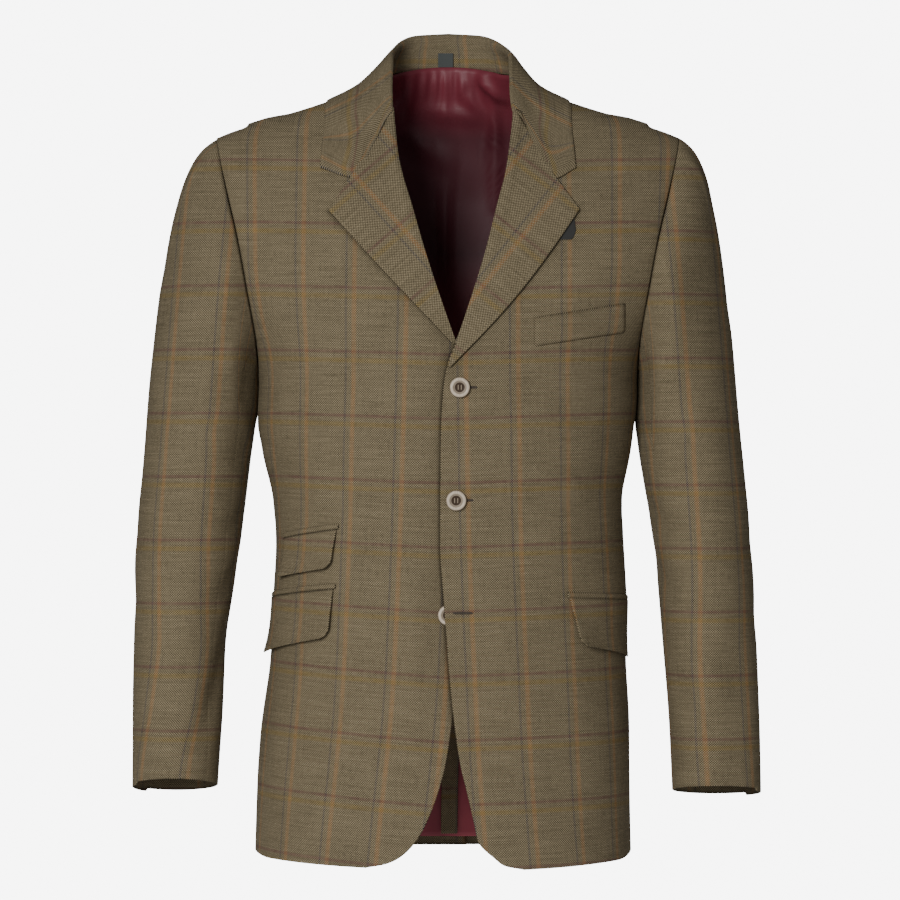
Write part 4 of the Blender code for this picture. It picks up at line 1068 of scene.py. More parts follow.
# %% Sleeves
# each crease runs between two places, as length round from the outermost line and height, and has a
# width and a depth
SLEEVE_CREASES = {
    RIGHT: [(0.160, -0.520, 0.095, -0.650, 0.014, 0.0036), (0.120, -0.530, 0.075, -0.640, 0.014, -0.0018),
            (0.180, -0.410, 0.115, -0.445, 0.013, 0.0022), (0.185, -0.455, 0.110, -0.510, 0.013, 0.0024),
            (0.175, -0.345, 0.125, -0.370, 0.014, 0.0018), (-0.02, -0.420, 0.05, -0.455, 0.018, 0.0012),
            (-0.03, -0.480, 0.04, -0.520, 0.018, 0.0013)],
    LEFT: [(0.100, -0.555, 0.050, -0.615, 0.013, -0.0030), (0.130, -0.560, 0.075, -0.640, 0.015, 0.0028),
           (0.180, -0.400, 0.115, -0.430, 0.013, 0.0022), (0.185, -0.450, 0.115, -0.500, 0.013, 0.0022),
           (0.175, -0.335, 0.125, -0.355, 0.014, 0.0018), (-0.02, -0.430, 0.05, -0.460, 0.018, 0.0012),
           (-0.03, -0.500, 0.04, -0.535, 0.018, 0.0012), (0.062, -0.510, 0.054, -0.730, 0.020, 0.0042),
           (0.098, -0.490, 0.092, -0.760, 0.022, -0.0046)],
}
SLEEVE_TRIM = Table("height left right", [
    (-0.05, 0.0, 0.001), (-0.08, 0.002, 0.003), (-0.11, 0.004, 0.004), (-0.16, 0.004, 0.004),
    (-0.20, 0.004, 0.002), (-0.24, 0.002, 0.001), (-0.30, 0.001, 0.0), (-0.36, 0.0, 0.0),
])
SLEEVE_LINES = Table("height start_left start_right", [
    (-0.04, 0.050, 0.055), (-0.53, 0.050, 0.055), (-0.60, 0.045, 0.043), (-0.66, 0.040, 0.028),
    (-0.70, 0.037, 0.022),
])
HEAD_LEAN, SLEEVE_WAVES, SEAM_SINK, RIM_COLUMN = 0.08, 0.0009, 0.0002, 0.1
BEHIND_FROM = np.radians(280)
HEAD_AHEAD, HEAD_AHEAD_EASE, HEAD_UP_EASE, HEAD_INNER_EASE = 0.008, 0.035, 0.05, 0.5
CREASE_FREE_RINGS, CREASE_FADE_RINGS = 10, 25
CUFF_STEP, CUFF_STEP_FROM, CUFF_STEP_TO, CUFF_STEP_EASE = 0.0028, np.radians(-46), np.radians(30), 0.06
LINING_FIRST_RING, LINING_LAST_RINGS = 30, 7
SLEEVE_PARTS = ("under", FRONT_SEAM, BACK_SEAM), ("top", BACK_SEAM, AROUND_COUNT + FRONT_SEAM)


def ring_lengths(rings):
    """Cloth length round each ring from its outermost column, and the length of the whole ring."""
    forward = walked(np.concatenate([rings, rings[:, :1]], axis=1), 1)
    return forward, forward[:, -1:]


def head_lengths(side, face, around):
    """Cloth lengths in the sleeve head, where the check runs straight up and leans to the neck."""
    x, y, z = np.moveaxis(face, -1, 0)
    rim = sleeve_section(side, np.full(AROUND_COUNT, UPPER_ARM))
    middle, radius = (rim[0, 0] + rim[ARM_STEPS, 0]) / 2, (rim[0, 0] - rim[ARM_STEPS, 0]) / 2
    lengths = ring_lengths(rim[None])[0][0]
    share = (x - middle + HEAD_LEAN * (z - UPPER_ARM)) / radius
    ahead = SLEEVE.at("middle", UPPER_ARM) - y
    straight = np.sign(ahead) * np.interp(np.arccos(np.clip(share, -1, 1)), AROUND, lengths[:-1])
    weight = smooth((np.abs(ahead) - HEAD_AHEAD) / HEAD_AHEAD_EASE) * smooth((z - UPPER_ARM) / HEAD_UP_EASE)
    return around + (straight - around) * weight * smooth((share + 1) / HEAD_INNER_EASE)


def upper_arm_row(face):
    return np.argmin(abs(face[:, 0, 2] - UPPER_ARM))


def walked_down(face):
    """Cloth length down each column, level with the height at the upper arm and below it."""
    walk, arm = walked(face, 0), upper_arm_row(face)
    above = np.arange(len(face))[:, None] < arm
    return np.where(above, walk - walk[arm] - face[arm, :, 2], -face[..., 2])


def edged(grid):
    """The grid with one more column close beside each end, so that a rim rounds off sharply."""
    start, end = grid[:, :1], grid[:, -1:]
    near_start = start + RIM_COLUMN * (grid[:, 1:2] - start)
    near_end = end + RIM_COLUMN * (grid[:, -2:-1] - end)
    return np.concatenate([start, near_start, grid[:, 1:-1], near_end, end], axis=1)


def sleeve_walls(side, rings, normals, length):
    """Face and back of a whole sleeve, with its creases and the step at its cuff."""
    height = rings[..., 2]
    fade = smooth((np.arange(len(rings)) - CREASE_FREE_RINGS) / CREASE_FADE_RINGS)[:, None]
    waves = SLEEVE_WAVES * slow_waves(length * 1.4, height * 0.6, 21 + side, 0.10)
    sink = (creased(length, height, SLEEVE_CREASES[side]) + waves) * fade
    sink = sink + SLEEVE_TRIM.at(side_name(side), height) * np.maximum(np.cos(AROUND), 0.0)
    face = rings - sink[..., None] * normals
    walls = [face, face - CLOTH * normals]
    turn = np.where(AROUND > np.pi, AROUND - 2 * np.pi, AROUND)
    step = smooth((turn - CUFF_STEP_FROM) / CUFF_STEP_EASE) * smooth((CUFF_STEP_TO - turn) / CUFF_STEP_EASE)
    for wall in walls:
        wall[-1, :, 2] -= CUFF_STEP * step
    return walls


def sleeve_part(side, part, first, last, whole_walls, normals, lengths):
    """The top or the under piece of a sleeve, cut from the whole one between two columns."""
    name, (forward, whole) = side_name(side), lengths
    columns = np.arange(first, last + 1)
    picked = columns % AROUND_COUNT
    walls = [wall[:, picked] for wall in whole_walls]
    for end, inside in ((0, 1), (-1, -2)):
        inwards = unit(walls[0][:, inside] - walls[0][:, end])
        for wall in walls:
            wall[:, end] += inwards * SEAM_GAP / 6
    walls[0][:, [0, -1]] -= SEAM_SINK * normals[:, picked[[0, -1]]]
    around = edged(forward[:, picked] + np.where(columns >= AROUND_COUNT, whole, 0.0))
    walls = [edged(wall) for wall in walls]
    nodes = [f"sleeve_{part}_{name}"]
    if part == "top":
        nodes.append(f"sleeve_head_{name}")
        around, level = head_lengths(side, walls[0], around - whole), -walls[0][..., 2]
    else:
        arm, middle = upper_arm_row(walls[0]), around[:, around.shape[1] // 2]
        around[:arm] += (middle[arm] - middle[:arm])[:, None]
        level = walked_down(walls[0])
    start = SLEEVE_LINES.at(f"start_{name}", walls[0][..., 2])
    cloth = np.stack([-side * (around - start), level - FIRST_WEFT_LINE[side]], axis=-1)
    return add_cloth(f"sleeve_{part}_{name}_cloth", [mirrored(wall, side) for wall in walls], cloth, nodes,
                     "low")


def sleeve_lining(side, face, normals, forward, height):
    name = side_name(side)
    keep = slice(LINING_FIRST_RING, -LINING_LAST_RINGS)
    depths = CLOTH + LINING_NEAR, CLOTH + LINING_NEAR + LINING
    faces = [mirrored(face[keep] - depth * normals[keep], side) for depth in depths]
    cloth = np.stack([forward[keep, :-1], -height[keep]], axis=-1)
    return add_cloth(f"sleeve_lining_{name}", faces, cloth, [], "low",
                     made_of=(LINING_SATIN, "lining"))


def make_sleeve(side):
    rings, normals = sleeve_rings(side)
    forward, whole = ring_lengths(rings)
    length = np.where(AROUND > BEHIND_FROM, forward[:, :-1] - whole, forward[:, :-1])
    walls = sleeve_walls(side, rings, normals, length)
    made = []
    for part, first, last in SLEEVE_PARTS:
        made.append(sleeve_part(side, part, first, last, walls, normals, (forward, whole)).name)
    made.append(sleeve_lining(side, walls[0], normals, forward, rings[..., 2]).name)
    return made


for side in (LEFT, RIGHT):
    print(make_sleeve(side))

# %% [markdown]
# ## Collar and lapels
# The collar is one folded strip: a stand inside, a crest, and a fall outside. Eight points across each
# station set its fold, and a curve through them rounds it. A lapel is the front's own cloth turned
# back, so its face is the facing, cut with the check along its straight outer edge.

# %% Collar
COLLAR_STEPS, COLLAR_COLUMNS = 60, (5, 6, 4, 4, 9, 10, 10)
LAST_STATION, SHOULDER_STATION = 5, 3
GORGE_LAP, GORGE_LIFT, GORGE_ROWS, GORGE_THINNED = 0.003, 0.0004, 14, 0.8
GORGE_RISE, GORGE_SEAM_RISE, GORGE_OUT = 0.003, 0.002, 0.0016
CREST_NARROWED, CREST_DROP = 0.85, 0.8
HOLD_FROM, HOLD_TO, HOLD_EASE = 12, 38, 3
# share of the way down the fall, of its hollow, and of the way to the notch at the gorge
FALL_LINES = (0.3, 0.5, 0.48), (0.62, 1.0, 1.0)
LAPEL_ROLL_OUT = 0.008
FALL_MIDDLE_COLUMN, COLLAR_WARP_LINE, COLLAR_WEFT_LINE = -11, 0.012, 0.036
# the height at which a warp line crosses each half of the fall
COLLAR_LINE_HEIGHT = {LEFT: -0.047, RIGHT: -0.038}


def neck_seam(station):
    """The neckline edge at a collar station, on the body form."""
    angle = -np.pi / 2 * (1 - np.minimum(station, SHOULDER_STATION) / SHOULDER_STATION)
    return body_point(angle, settle(angle, np.full_like(station, NECK_HEIGHT)))


def collar_half(side):
    """Grid of half a collar from the centre back to the gorge: stand, crest, then fall."""
    station = np.linspace(0, LAST_STATION, COLLAR_STEPS + 1)
    crest, edge = (np.stack([COLLAR.at(f"{line}_{axis}", station) for axis in "xyz"], axis=-1)
                   for line in ("crest", "edge"))
    at_side = smooth((station - 1) / 2)
    crest[:, 0] += side * NECK_SHIFT * at_side
    gorge_top = GORGE_HEIGHT + GORGE_RISE
    gorge = on_front(side, roll_line(side, gorge_top) + GORGE_OUT, gorge_top, 2 * CLOTH)
    gorge_pull = smooth(station - LAST_STATION + 1)[:, None]
    crest += (gorge - crest) * gorge_pull
    stand_off = CLOTH + LAID_GAP + FALL_STAND_OFF * (1 - gorge_pull[:, 0])
    edge = raise_clear(edge, stand_off)
    past_shoulder = np.clip((station - SHOULDER_STATION) / 2, 0, 1)
    height = NECK_HEIGHT + (GORGE_HEIGHT + GORGE_SEAM_RISE - NECK_HEIGHT) * past_shoulder
    front = on_front(side, front_edge(side, height), height, 0.0)
    seam = np.where((station > SHOULDER_STATION)[:, None], front, neck_seam(station))
    level = np.array([1, 1, 0])
    foot = seam + unit(-seam * level) * (CLOTH + 3 * SEAM_GAP) + np.array([0, 0, 2 * LAID_GAP])
    out = unit((edge - crest) * level)
    radius = CREST_RADIUS * (1 - CREST_NARROWED * gorge_pull)
    down = radius * np.array([0, 0, CREST_DROP])
    crest_in, crest_out = crest - radius * out - down, crest + radius * out - down
    notch_point = on_front(side, *LAPEL[side]["notch"], CLOTH + LAID_GAP)
    hollow = (FALL_HOLLOW[side] * at_side * smooth(LAST_STATION - station))[:, None]
    fall = []
    for share, deep, kink_share in FALL_LINES:
        line = crest_out + (edge - crest_out) * share - hollow * deep * out
        kink = crest_out + (notch_point - crest_out) * kink_share
        fall.append(raise_clear(line + (kink - line) * gorge_pull, stand_off))
    return np.stack([foot, (foot + crest_in) / 2, crest_in, crest, crest_out, *fall, edge], axis=1)


def curved(grid, counts):
    """Rows of points refined along a curve through them, with tangents weighed by the spacing."""
    step = np.diff(grid, axis=1)
    gap = np.maximum(np.linalg.norm(step, axis=-1, keepdims=True), TINY)
    slope = step / gap
    inner = (slope[:, :-1] * gap[:, 1:] + slope[:, 1:] * gap[:, :-1]) / (gap[:, 1:] + gap[:, :-1])
    tangent = np.concatenate([slope[:, :1], inner, slope[:, -1:]], axis=1)
    columns = [grid[:, 0]]
    for i, count in enumerate(counts):
        slopes = gap[:, i] * tangent[:, i], gap[:, i] * tangent[:, i + 1]
        columns += [cubic(grid[:, i], grid[:, i + 1], *slopes, t) for t in np.linspace(0, 1, count + 1)[1:]]
    return np.stack(columns, axis=1)


def lapel_roll(from_roll):
    """Extra height of a lapel over its soft roll."""
    return LAPEL_ROLL_HEIGHT * bell(from_roll - LAPEL_ROLL_OUT, LAPEL_ROLL_OUT)


def laid_on_lapel(side, rows):
    """The collar's last rows, eased onto the surface that the lapel goes on with."""
    rows = rows.copy()
    rows[-1] += GORGE_LAP * unit(rows[-1] - rows[-2])
    across, _, height = np.moveaxis(mirrored(rows, side), -1, 0)
    lift = CLOTH + LAID_GAP + lapel_roll(across - roll_line(side, height)) + GORGE_LIFT
    laid = mirrored(on_front(side, across, height, lift), side)
    column = np.arange(rows.shape[1])
    hold = smooth((column - HOLD_FROM) / HOLD_EASE) * smooth((HOLD_TO - column) / HOLD_EASE)
    ease = (smooth(np.linspace(0, 1, len(rows)))[:, None] * hold)[..., None]
    return rows + ease * (laid - rows), ease


def collar_warp(middle):
    """Cloth coordinate along the collar, eased so that a line falls at its height on each half."""
    walk = walked(middle, 0)
    walk = walk - walk[COLLAR_STEPS]
    stretch = np.ones_like(walk)
    for side, level in COLLAR_LINE_HEIGHT.items():
        half = np.where(np.sign(walk) == side)[0]
        line = abs(walk[half[np.argmin(abs(middle[half, 2] - level))]])
        bands = round((line - side * COLLAR_WARP_LINE) / CHECK_WIDTH)
        stretch[half] = (side * COLLAR_WARP_LINE + bands * CHECK_WIDTH) / line
    return walk * stretch - COLLAR_WARP_LINE


def make_collar():
    left, right = (mirrored(collar_half(side), side) for side in (LEFT, RIGHT))
    grid = curved(np.concatenate([right[:0:-1], left]), COLLAR_COLUMNS)
    thick = np.full((*grid.shape[:2], 1), CLOTH)
    for side, ends in ((RIGHT, slice(GORGE_ROWS - 1, None, -1)), (LEFT, slice(-GORGE_ROWS, None))):
        grid[ends], ease = laid_on_lapel(side, grid[ends])
        thick[ends] *= 1 - GORGE_THINNED * ease
    from_edge = walked(grid[:, ::-1], 1)[:, ::-1]
    u = collar_warp(grid[:, FALL_MIDDLE_COLUMN])[:, None] + 0 * from_edge
    cloth = np.stack([u, COLLAR_WEFT_LINE - from_edge], axis=-1)
    return add_cloth("collar_cloth", [grid, grid + thick * grid_normals(grid)], cloth, ["collar"],
                     "top low end")


print(make_collar().name, CUTS["collar_cloth"])

# %% Lapels
# how the check lies on each lapel, in the plane of the front: across the lines, then along them
LAPEL_CHECK = {RIGHT: ((0.747, 0.664, -0.1299), (0.664, -0.747, 0.0026)),
               LEFT: ((0.786, -0.619, 0.1363), (-0.619, -0.786, 0.0030))}
LAPEL_ROWS, LAPEL_COLUMNS = 84, 43
TUCK_LENGTH, TUCK_SINK, TUCK_LEAN, TUCK_ROWS = 0.009, 0.0008, (0.06, 1.0), (1.0, 0.75, 0.5, 0.25)
TUCK_LEAST, TUCK_END, TUCK_EASE = 0.03, 0.64, 0.08


def make_lapel(side):
    shape, name, foot = LAPEL[side], side_name(side), LAPEL_FOOT[side]
    rows = np.linspace(0, 1, LAPEL_ROWS)[:, None]
    shares = np.linspace(0, 1, LAPEL_COLUMNS)[None, :]
    top = GORGE_HEIGHT - 2 * SEAM_GAP
    roll_height = top + (foot - top) * rows
    roll = np.stack([lapel_fold(side, roll_height), roll_height], axis=-1)
    point = np.array(shape["point"])
    along = np.array([lapel_fold(side, foot) + LAPEL_FOOT_OUT, foot - LAPEL_FOOT_OUT]) - point
    bow = np.array([-along[1], along[0]]) / np.linalg.norm(along)
    outer = point + along * rows[..., None] + shape["belly"] * np.sin(np.pi * rows)[..., None] * bow
    flat = roll + (outer - roll) * shares[..., None]
    notch = np.array(shape["notch"]) - np.array([0, 3 * SEAM_GAP])
    start, along_top = roll[0, 0], shares[0][:, None]
    kink = np.where(along_top < 2 / 3, start + (notch - start) * along_top * 1.5,
                    notch + (point - notch) * (along_top * 3 - 2))
    straight = start + (point - start) * along_top
    flat = flat + ((1 - rows) ** 3)[..., None] * (kink - straight)[None]
    from_roll = np.linalg.norm(flat - roll, axis=-1)
    lift = CLOTH + LAID_GAP + LAPEL_SPRING * shares ** 2 + lapel_roll(from_roll) * (1 - rows)
    tuck_share = TUCK_LEAST + (1 - TUCK_LEAST) * smooth((TUCK_END - shares) / TUCK_EASE)
    tuck = np.array(TUCK_ROWS)[:, None] * tuck_share
    flat = np.concatenate([flat[:1] + TUCK_LENGTH * tuck[..., None] * np.array(TUCK_LEAN), flat])
    lift = np.concatenate([lift[:1] - TUCK_SINK * tuck, lift])
    faces = [mirrored(on_front(side, flat[..., 0], flat[..., 1], lift - depth), side) for depth in (0, CLOTH)]
    x, _, z = np.moveaxis(faces[0], -1, 0)
    cloth = np.stack([a * x + b * z - c for a, b, c in LAPEL_CHECK[side]], axis=-1)
    return add_cloth(f"lapel_{name}_cloth", faces, cloth, [f"lapel_{name}"],
                     "top end")


for side in (LEFT, RIGHT):
    print(make_lapel(side).name, CUTS[f"lapel_{side_name(side)}_cloth"])

# %% [markdown]
# ## Pockets
# Flaps hang over their pockets from a narrow jetted mouth, and the breast pocket has a raised welt.
# A tailor matches the check, so their cloth coordinates are simply those of the front below them.

# %% Flaps, jets and welt
FLAP_ROWS, FLAP_COLUMNS, JET_ROWS = 34, 49, 9
FLAP_CURL, JET_PUFF, JET_LONGER = 0.0030, 0.0009, 0.002
FLAP_SEAM_WIDTH, JET_SEAM_WIDTH, JET_SEAM_SHADE = 0.0012, 0.0008, 0.75
WELT_ROWS, WELT_COLUMNS, WELT_PRESS = 22, 61, 0.0018
WELT_SEAM_WIDTH, WELT_SEAM_SHADE = 0.0014, 0.28


def pocket_lift(side, angle, height):
    """How far the front under a pocket stands off the body form."""
    return front_drape(side, across_at(angle, height), height) + side_ease(side, angle, height)


def make_flap(name, nodes, side, across, top, rear_top, rear_angle, drop, rear_drop, rake, corner, flare,
              crease):
    shares = np.linspace(0, 1, FLAP_COLUMNS)[None, :]
    rows = np.sin(np.linspace(0, np.pi / 2, FLAP_ROWS))[:, None]
    into_corner = np.clip(rows * drop - (drop - corner), 0.0, corner)
    inset = corner - np.sqrt(corner ** 2 - into_corner ** 2)
    mouth, rear = top + (rear_top - top) * shares, math.radians(rear_angle)
    front_angle = angle_at(across + rake * rows + inset, top - rows * drop)
    angle = front_angle + (rear - front_angle) * shares
    height = mouth - rows * (drop + (rear_drop - drop) * shares)
    curl = FLAP_CURL * (rows ** 3 + (1 - shares) ** 6 * np.minimum(rows * 2, 1))
    curl = curl + flare * (shares * rows) ** 2
    # painted shade along the flap's top seam
    seam = crease * bell(rows * drop, FLAP_SEAM_WIDTH) + 0 * shares
    lift = CLOTH + LAID_GAP + curl + pocket_lift(side, angle, height)
    faces = panel(side, angle, height, lift, (0, CLOTH))
    flap = add_cloth(f"{name}_flap_cloth", faces, front_cloth(side, angle, height), nodes[:1],
                     "low start end", seam)
    rows = np.linspace(1, 0, JET_ROWS)[:, None]
    height = mouth + SEAM_GAP + rows * JET_HEIGHT
    start = angle_at(across - JET_LONGER, top)
    angle = start + (rear - start) * shares + 0 * rows
    thick = JET_THICKNESS + JET_PUFF * np.sin(np.pi * rows)
    # painted shade along the jet's seam with the flap
    seam = JET_SEAM_SHADE * crease * bell(rows * JET_HEIGHT, JET_SEAM_WIDTH) + 0 * shares
    faces = panel(side, angle, height, LAID_GAP + pocket_lift(side, angle, height), (-thick, 0))
    jet = add_cloth(f"{name}_jet_cloth", faces, front_cloth(side, angle, height), nodes[1:],
                    "top low start end", seam)
    return flap.name, jet.name


def make_breast_welt():
    shares = np.linspace(0, 1, WELT_COLUMNS)[None, :]
    rows = np.linspace(0, 1, WELT_ROWS)[:, None]
    long, rise = (rear - front for front, rear in zip(WELT_FRONT, WELT_REAR))
    across = WELT_FRONT[0] + long * shares + 0 * rows
    height = WELT_FRONT[1] + rise * shares - rows * WELT_HEIGHT
    press = WELT_PRESS * (bell(1 - rows, 0.05) + bell(shares, 0.02) + bell(1 - shares, 0.02))
    faces = [on_front(LEFT, across, height, lift - press) for lift in (CLOTH + LAID_GAP, LAID_GAP)]
    # painted shade along the welt's seams at its front end, bottom and top
    rims = shares * long, (1 - rows) * WELT_HEIGHT, rows * WELT_HEIGHT
    end, low, top = (bell(rim, WELT_SEAM_WIDTH) for rim in rims)
    sewn = WELT_SEAM_SHADE * np.maximum(np.maximum(end, low), top)
    return add_cloth("breast_welt_cloth", faces, front_cloth(LEFT, angle_at(across, height), height),
                     ["breast_welt"], "top", sewn)


for name, flap in FLAPS.items():
    print(make_flap(name, **flap))
print(make_breast_welt().name)

# %% [markdown]
# ## Lining, facing, loop and tab
# Inside, satin hangs a little loose from the tweed with a pleat down the centre back, so it never
# pulls. Behind the open quarters a strip of tweed faces the vent. The loop and the tab are flat tape.

# %% Lining and facing
SATIN = LINING_SATIN, "lining"
LINING_CREASES = [
    (-0.003, 0.034, -0.003, -0.20, 0.0035, 0.0050), (0.049, 0.022, 0.048, -0.10, 0.005, 0.0080),
    (-0.040, 0.022, -0.05, -0.02, 0.008, 0.0050), (0.026, 0.034, 0.062, 0.008, 0.005, 0.0060),
    (0.010, 0.020, 0.040, -0.008, 0.007, 0.0040), (-0.030, 0.000, 0.040, -0.012, 0.008, 0.0040),
    (-0.050, -0.02, 0.00, -0.06, 0.010, 0.0040), (0.020, 0.034, 0.016, 0.014, 0.004, 0.0030),
    (0.030, -0.56, 0.040, -0.74, 0.010, 0.0030), (-0.040, -0.55, -0.03, -0.74, 0.012, 0.0030),
]
LINING_RISE, LINING_LOOSE, FRONT_LINING_LOOSE = 0.004, 0.0012, 0.0008
LINING_SIDE_ANGLE, LINING_ARM_EASE, LINING_RISE_FROM, LINING_RISE_EASE = -0.3, 0.06, 0.012, 0.011
LINING_HELD_FROM, LINING_HELD_EASE = NECK_HEIGHT + 0.014, 0.012
PUCKER, PUCKER_LENGTH = 0.0009, 0.013
LINING_COLUMNS, FRONT_LINING_COLUMNS = 48, 44
FRONT_LINING_TOP, FRONT_LINING_END, FRONT_LINING_IN = -0.045, -0.735, 0.075
FRONT_LINING_SIDE, FRONT_LINING_ARM, FRONT_LINING_LEAST = -0.24, 0.03, 0.02
VENT_FACING_IN, VENT_FACING_ACROSS = 0.0034, (-0.004, 0.0125)
VENT_FACING_HEIGHTS = VENT_TOP - 0.01, HEM_HEIGHT + 0.012


def make_lining():
    heights = BACK_HEIGHTS[:-2]
    outer = LINING_SIDE_ANGLE - armhole_angle(heights) * smooth((ARM_TOP - heights) / LINING_ARM_EASE)
    angle = between([np.full_like(outer, -np.pi / 2), outer], (LINING_COLUMNS,))
    height = settle(angle, heights[:, None])
    height = height + LINING_RISE * smooth((heights[:, None] - LINING_RISE_FROM) / LINING_RISE_EASE)
    across = across_at(angle, height)
    pucker = PUCKER * np.sin(across * 2 * np.pi / PUCKER_LENGTH + 2 * np.sin(across * 60))
    pucker = pucker * smooth(height / 0.02)
    halves = []
    for side in (RIGHT, LEFT):
        waves = LINING_LOOSE * (1 + slow_waves(side * across * 1.5, height * 0.7, 31, 0.09))
        loose = creased(side * across, height, LINING_CREASES) + waves + pucker
        loose = loose * smooth((LINING_HELD_FROM - height) / LINING_HELD_EASE)
        lift = -(CLOTH + LINING_GAP) - vent_sink(across, height) - loose
        halves.append(panel(side, angle, height, lift, (0, LINING)))
    faces = [np.concatenate([right[:, :0:-1], left], axis=1) for right, left in zip(*halves)]
    cloth = np.stack([faces[0][..., 0], -faces[0][..., 2]], axis=-1)
    return add_cloth("lining_back_satin", faces, cloth, ["lining_back"],
                     "low", made_of=SATIN)


def make_front_lining(side):
    name = side_name(side)
    heights = FRONT_HEIGHTS[(FRONT_HEIGHTS < FRONT_LINING_TOP) & (FRONT_HEIGHTS > FRONT_LINING_END)]
    outer = np.where(heights < ARM_BOTTOM, FRONT_LINING_SIDE, armhole_angle(heights) + FRONT_LINING_ARM)
    start = angle_at(front_edge(side, heights) + FRONT_LINING_IN, heights)
    angle = between([start, np.minimum(outer, start - FRONT_LINING_LEAST)], (FRONT_LINING_COLUMNS,))
    height = settle(angle, heights[:, None])
    across = across_at(angle, height)
    loose = FRONT_LINING_LOOSE * (1 + slow_waves(across, height, 41 + side, 0.08))
    lift = front_lift(side, across, height) - CLOTH - LINING_NEAR - loose
    faces = panel(side, angle, height, lift, (0, LINING))
    return add_cloth(f"front_lining_{name}", faces, np.stack([across, -height], axis=-1), [],
                     "low start", made_of=SATIN)


def make_vent_facing():
    heights = np.linspace(*VENT_FACING_HEIGHTS, 60)[:, None]
    across = np.linspace(*VENT_FACING_ACROSS, 12)[None, :]
    angle = -angle_at(across, heights)
    inside = CLOTH + LINING_GAP + LINING + LAID_GAP + VENT_FACING_IN + vent_sink(across, heights)
    height = settle(angle, heights + 0 * across)
    return add_cloth("vent_facing_cloth", panel(LEFT, angle, height, -inside, (FACING, 0)),
                     back_cloth(LEFT, angle, height), ["vent_facing"],
                     "low start end")


print(make_lining().name, make_vent_facing().name, [make_front_lining(side).name for side in (LEFT, RIGHT)])

# %% Loop and tab
LOOP_UP_STAND, LOOP_ACROSS, LOOP_BOW = (0.44, 0.03), (-0.0097, 0.0050), 7
LOOP_LENGTH, LOOP_OFF = 0.03, 0.0006
TAB_ROUND_FROM, TAB_ROUND = 0.55, 0.35


def make_neck_loop():
    foot, _, top = collar_half(LEFT)[0, :3]
    shares = np.linspace(*LOOP_UP_STAND, 16)[:, None, None]
    across = np.linspace(*LOOP_ACROSS, 18)[None, :, None]
    place = foot + (top - foot) * shares + across * np.array([1.0, 0, 0])
    lean = LAID_GAP + LOOP_OFF + across ** 2 * LOOP_BOW
    faces = [place - (lean + depth) * np.array([0, 1.0, 0]) for depth in (LINING, 0)]
    cloth = np.stack(np.broadcast_arrays(across[..., 0], shares[..., 0] * LOOP_LENGTH), axis=-1)
    return add_cloth("neck_loop_tape", faces, cloth, ["neck_loop"],
                     "top low start end", made_of=(SLATE_TAPE, "slate_trim"))


def make_lapel_tab():
    rows = np.linspace(0, 1, 14)[:, None, None]
    shares = np.linspace(0, 1, 14)[None, :, None]
    top_front, top_rear, low_front, low_rear = (np.array(corner) for corner in TAB_CORNERS)
    upper = top_front + (top_rear - top_front) * shares
    lower = low_front + (low_rear - low_front) * shares
    corner = np.clip((shares - TAB_ROUND_FROM) / (1 - TAB_ROUND_FROM), 0, 1)
    flat = upper + (lower - upper) * rows * (1 - TAB_ROUND * corner ** 2)
    lifts = LAID_GAP + TAB_THICKNESS, LAID_GAP
    faces = [on_front(LEFT, flat[..., 0], flat[..., 1], lift) for lift in lifts]
    # the tab's darker tape is painted shade
    return add_cloth("lapel_tab_tape", faces, flat, ["lapel_tab"], "low end",
                     made_of=(SHADED_SLATE_TAPE, "slate_trim"))


print(make_neck_loop().name, make_lapel_tab().name)

# %% [markdown]
# ## Buttons
# Horn buttons are turned on a lathe and drilled with four holes. A profile spun round its axis gives
# the rim and the sunk middle, and a Boolean drills it. Each is then laid on the front it is sewn to.

# %% Buttons
# radius and height round the rim, from the middle of the face to the middle of the back
PROFILE = (
    (0.0, 0.0020), (0.0042, 0.0020), (0.0052, 0.0022), (0.0060, 0.0029), (0.0067, 0.0035),
    (0.0077, 0.0038), (0.0088, 0.0036), (0.0096, 0.0030), (0.0100, 0.0022), (0.0099, 0.0012),
    (0.0092, 0.0004), (0.0080, 0.0), (0.0, 0.0),
)
HOLE_REACH, HOLE_RADIUS, BUTTON_SHANK = 0.0015, 0.0007, 0.0018
DRILL_MIDDLE, DRILL_LENGTH, SHARP_ANGLE = 0.002, 0.01, math.radians(60)


def seat_of(side, x, height, lift):
    """Place of a flat thing on a front: across, up and out of the cloth as the axes of a matrix."""
    across = x * side
    point = mirrored(on_front(side, np.array(across), np.array(height), lift), side)
    out = Vector(mirrored(outward(body_point(angle_at(across, height), np.array(height))), side))
    right = Vector((0, 0, 1)).cross(out).normalized()
    axes = Matrix((right, out.cross(right), out)).transposed().to_4x4()
    return Matrix.Translation(Vector(point)) @ axes


def from_bmesh(name, work):
    mesh = bpy.data.meshes.new(name)
    work.to_mesh(mesh)
    work.free()
    return linked(name, mesh)


def applied(holder, *helpers):
    """The mesh of an object with its modifiers applied. The objects themselves are removed."""
    graph = bpy.context.evaluated_depsgraph_get()
    mesh = bpy.data.meshes.new_from_object(holder.evaluated_get(graph))
    for used in (*helpers, holder):
        bpy.data.objects.remove(used)
    return mesh


def settled(mesh):
    """The same mesh with sorted points and faces. A Boolean may list them in another order each run."""
    points = np.array([vertex.co for vertex in mesh.vertices])
    order = np.lexsort(points.T)
    place = np.argsort(order).tolist()
    rings = []
    for face in mesh.polygons:
        ring = [place[corner] for corner in face.vertices]
        first = ring.index(min(ring))
        rings.append(ring[first:] + ring[:first])
    mesh.clear_geometry()
    mesh.from_pydata(points[order].tolist(), [], sorted(rings))
    return mesh


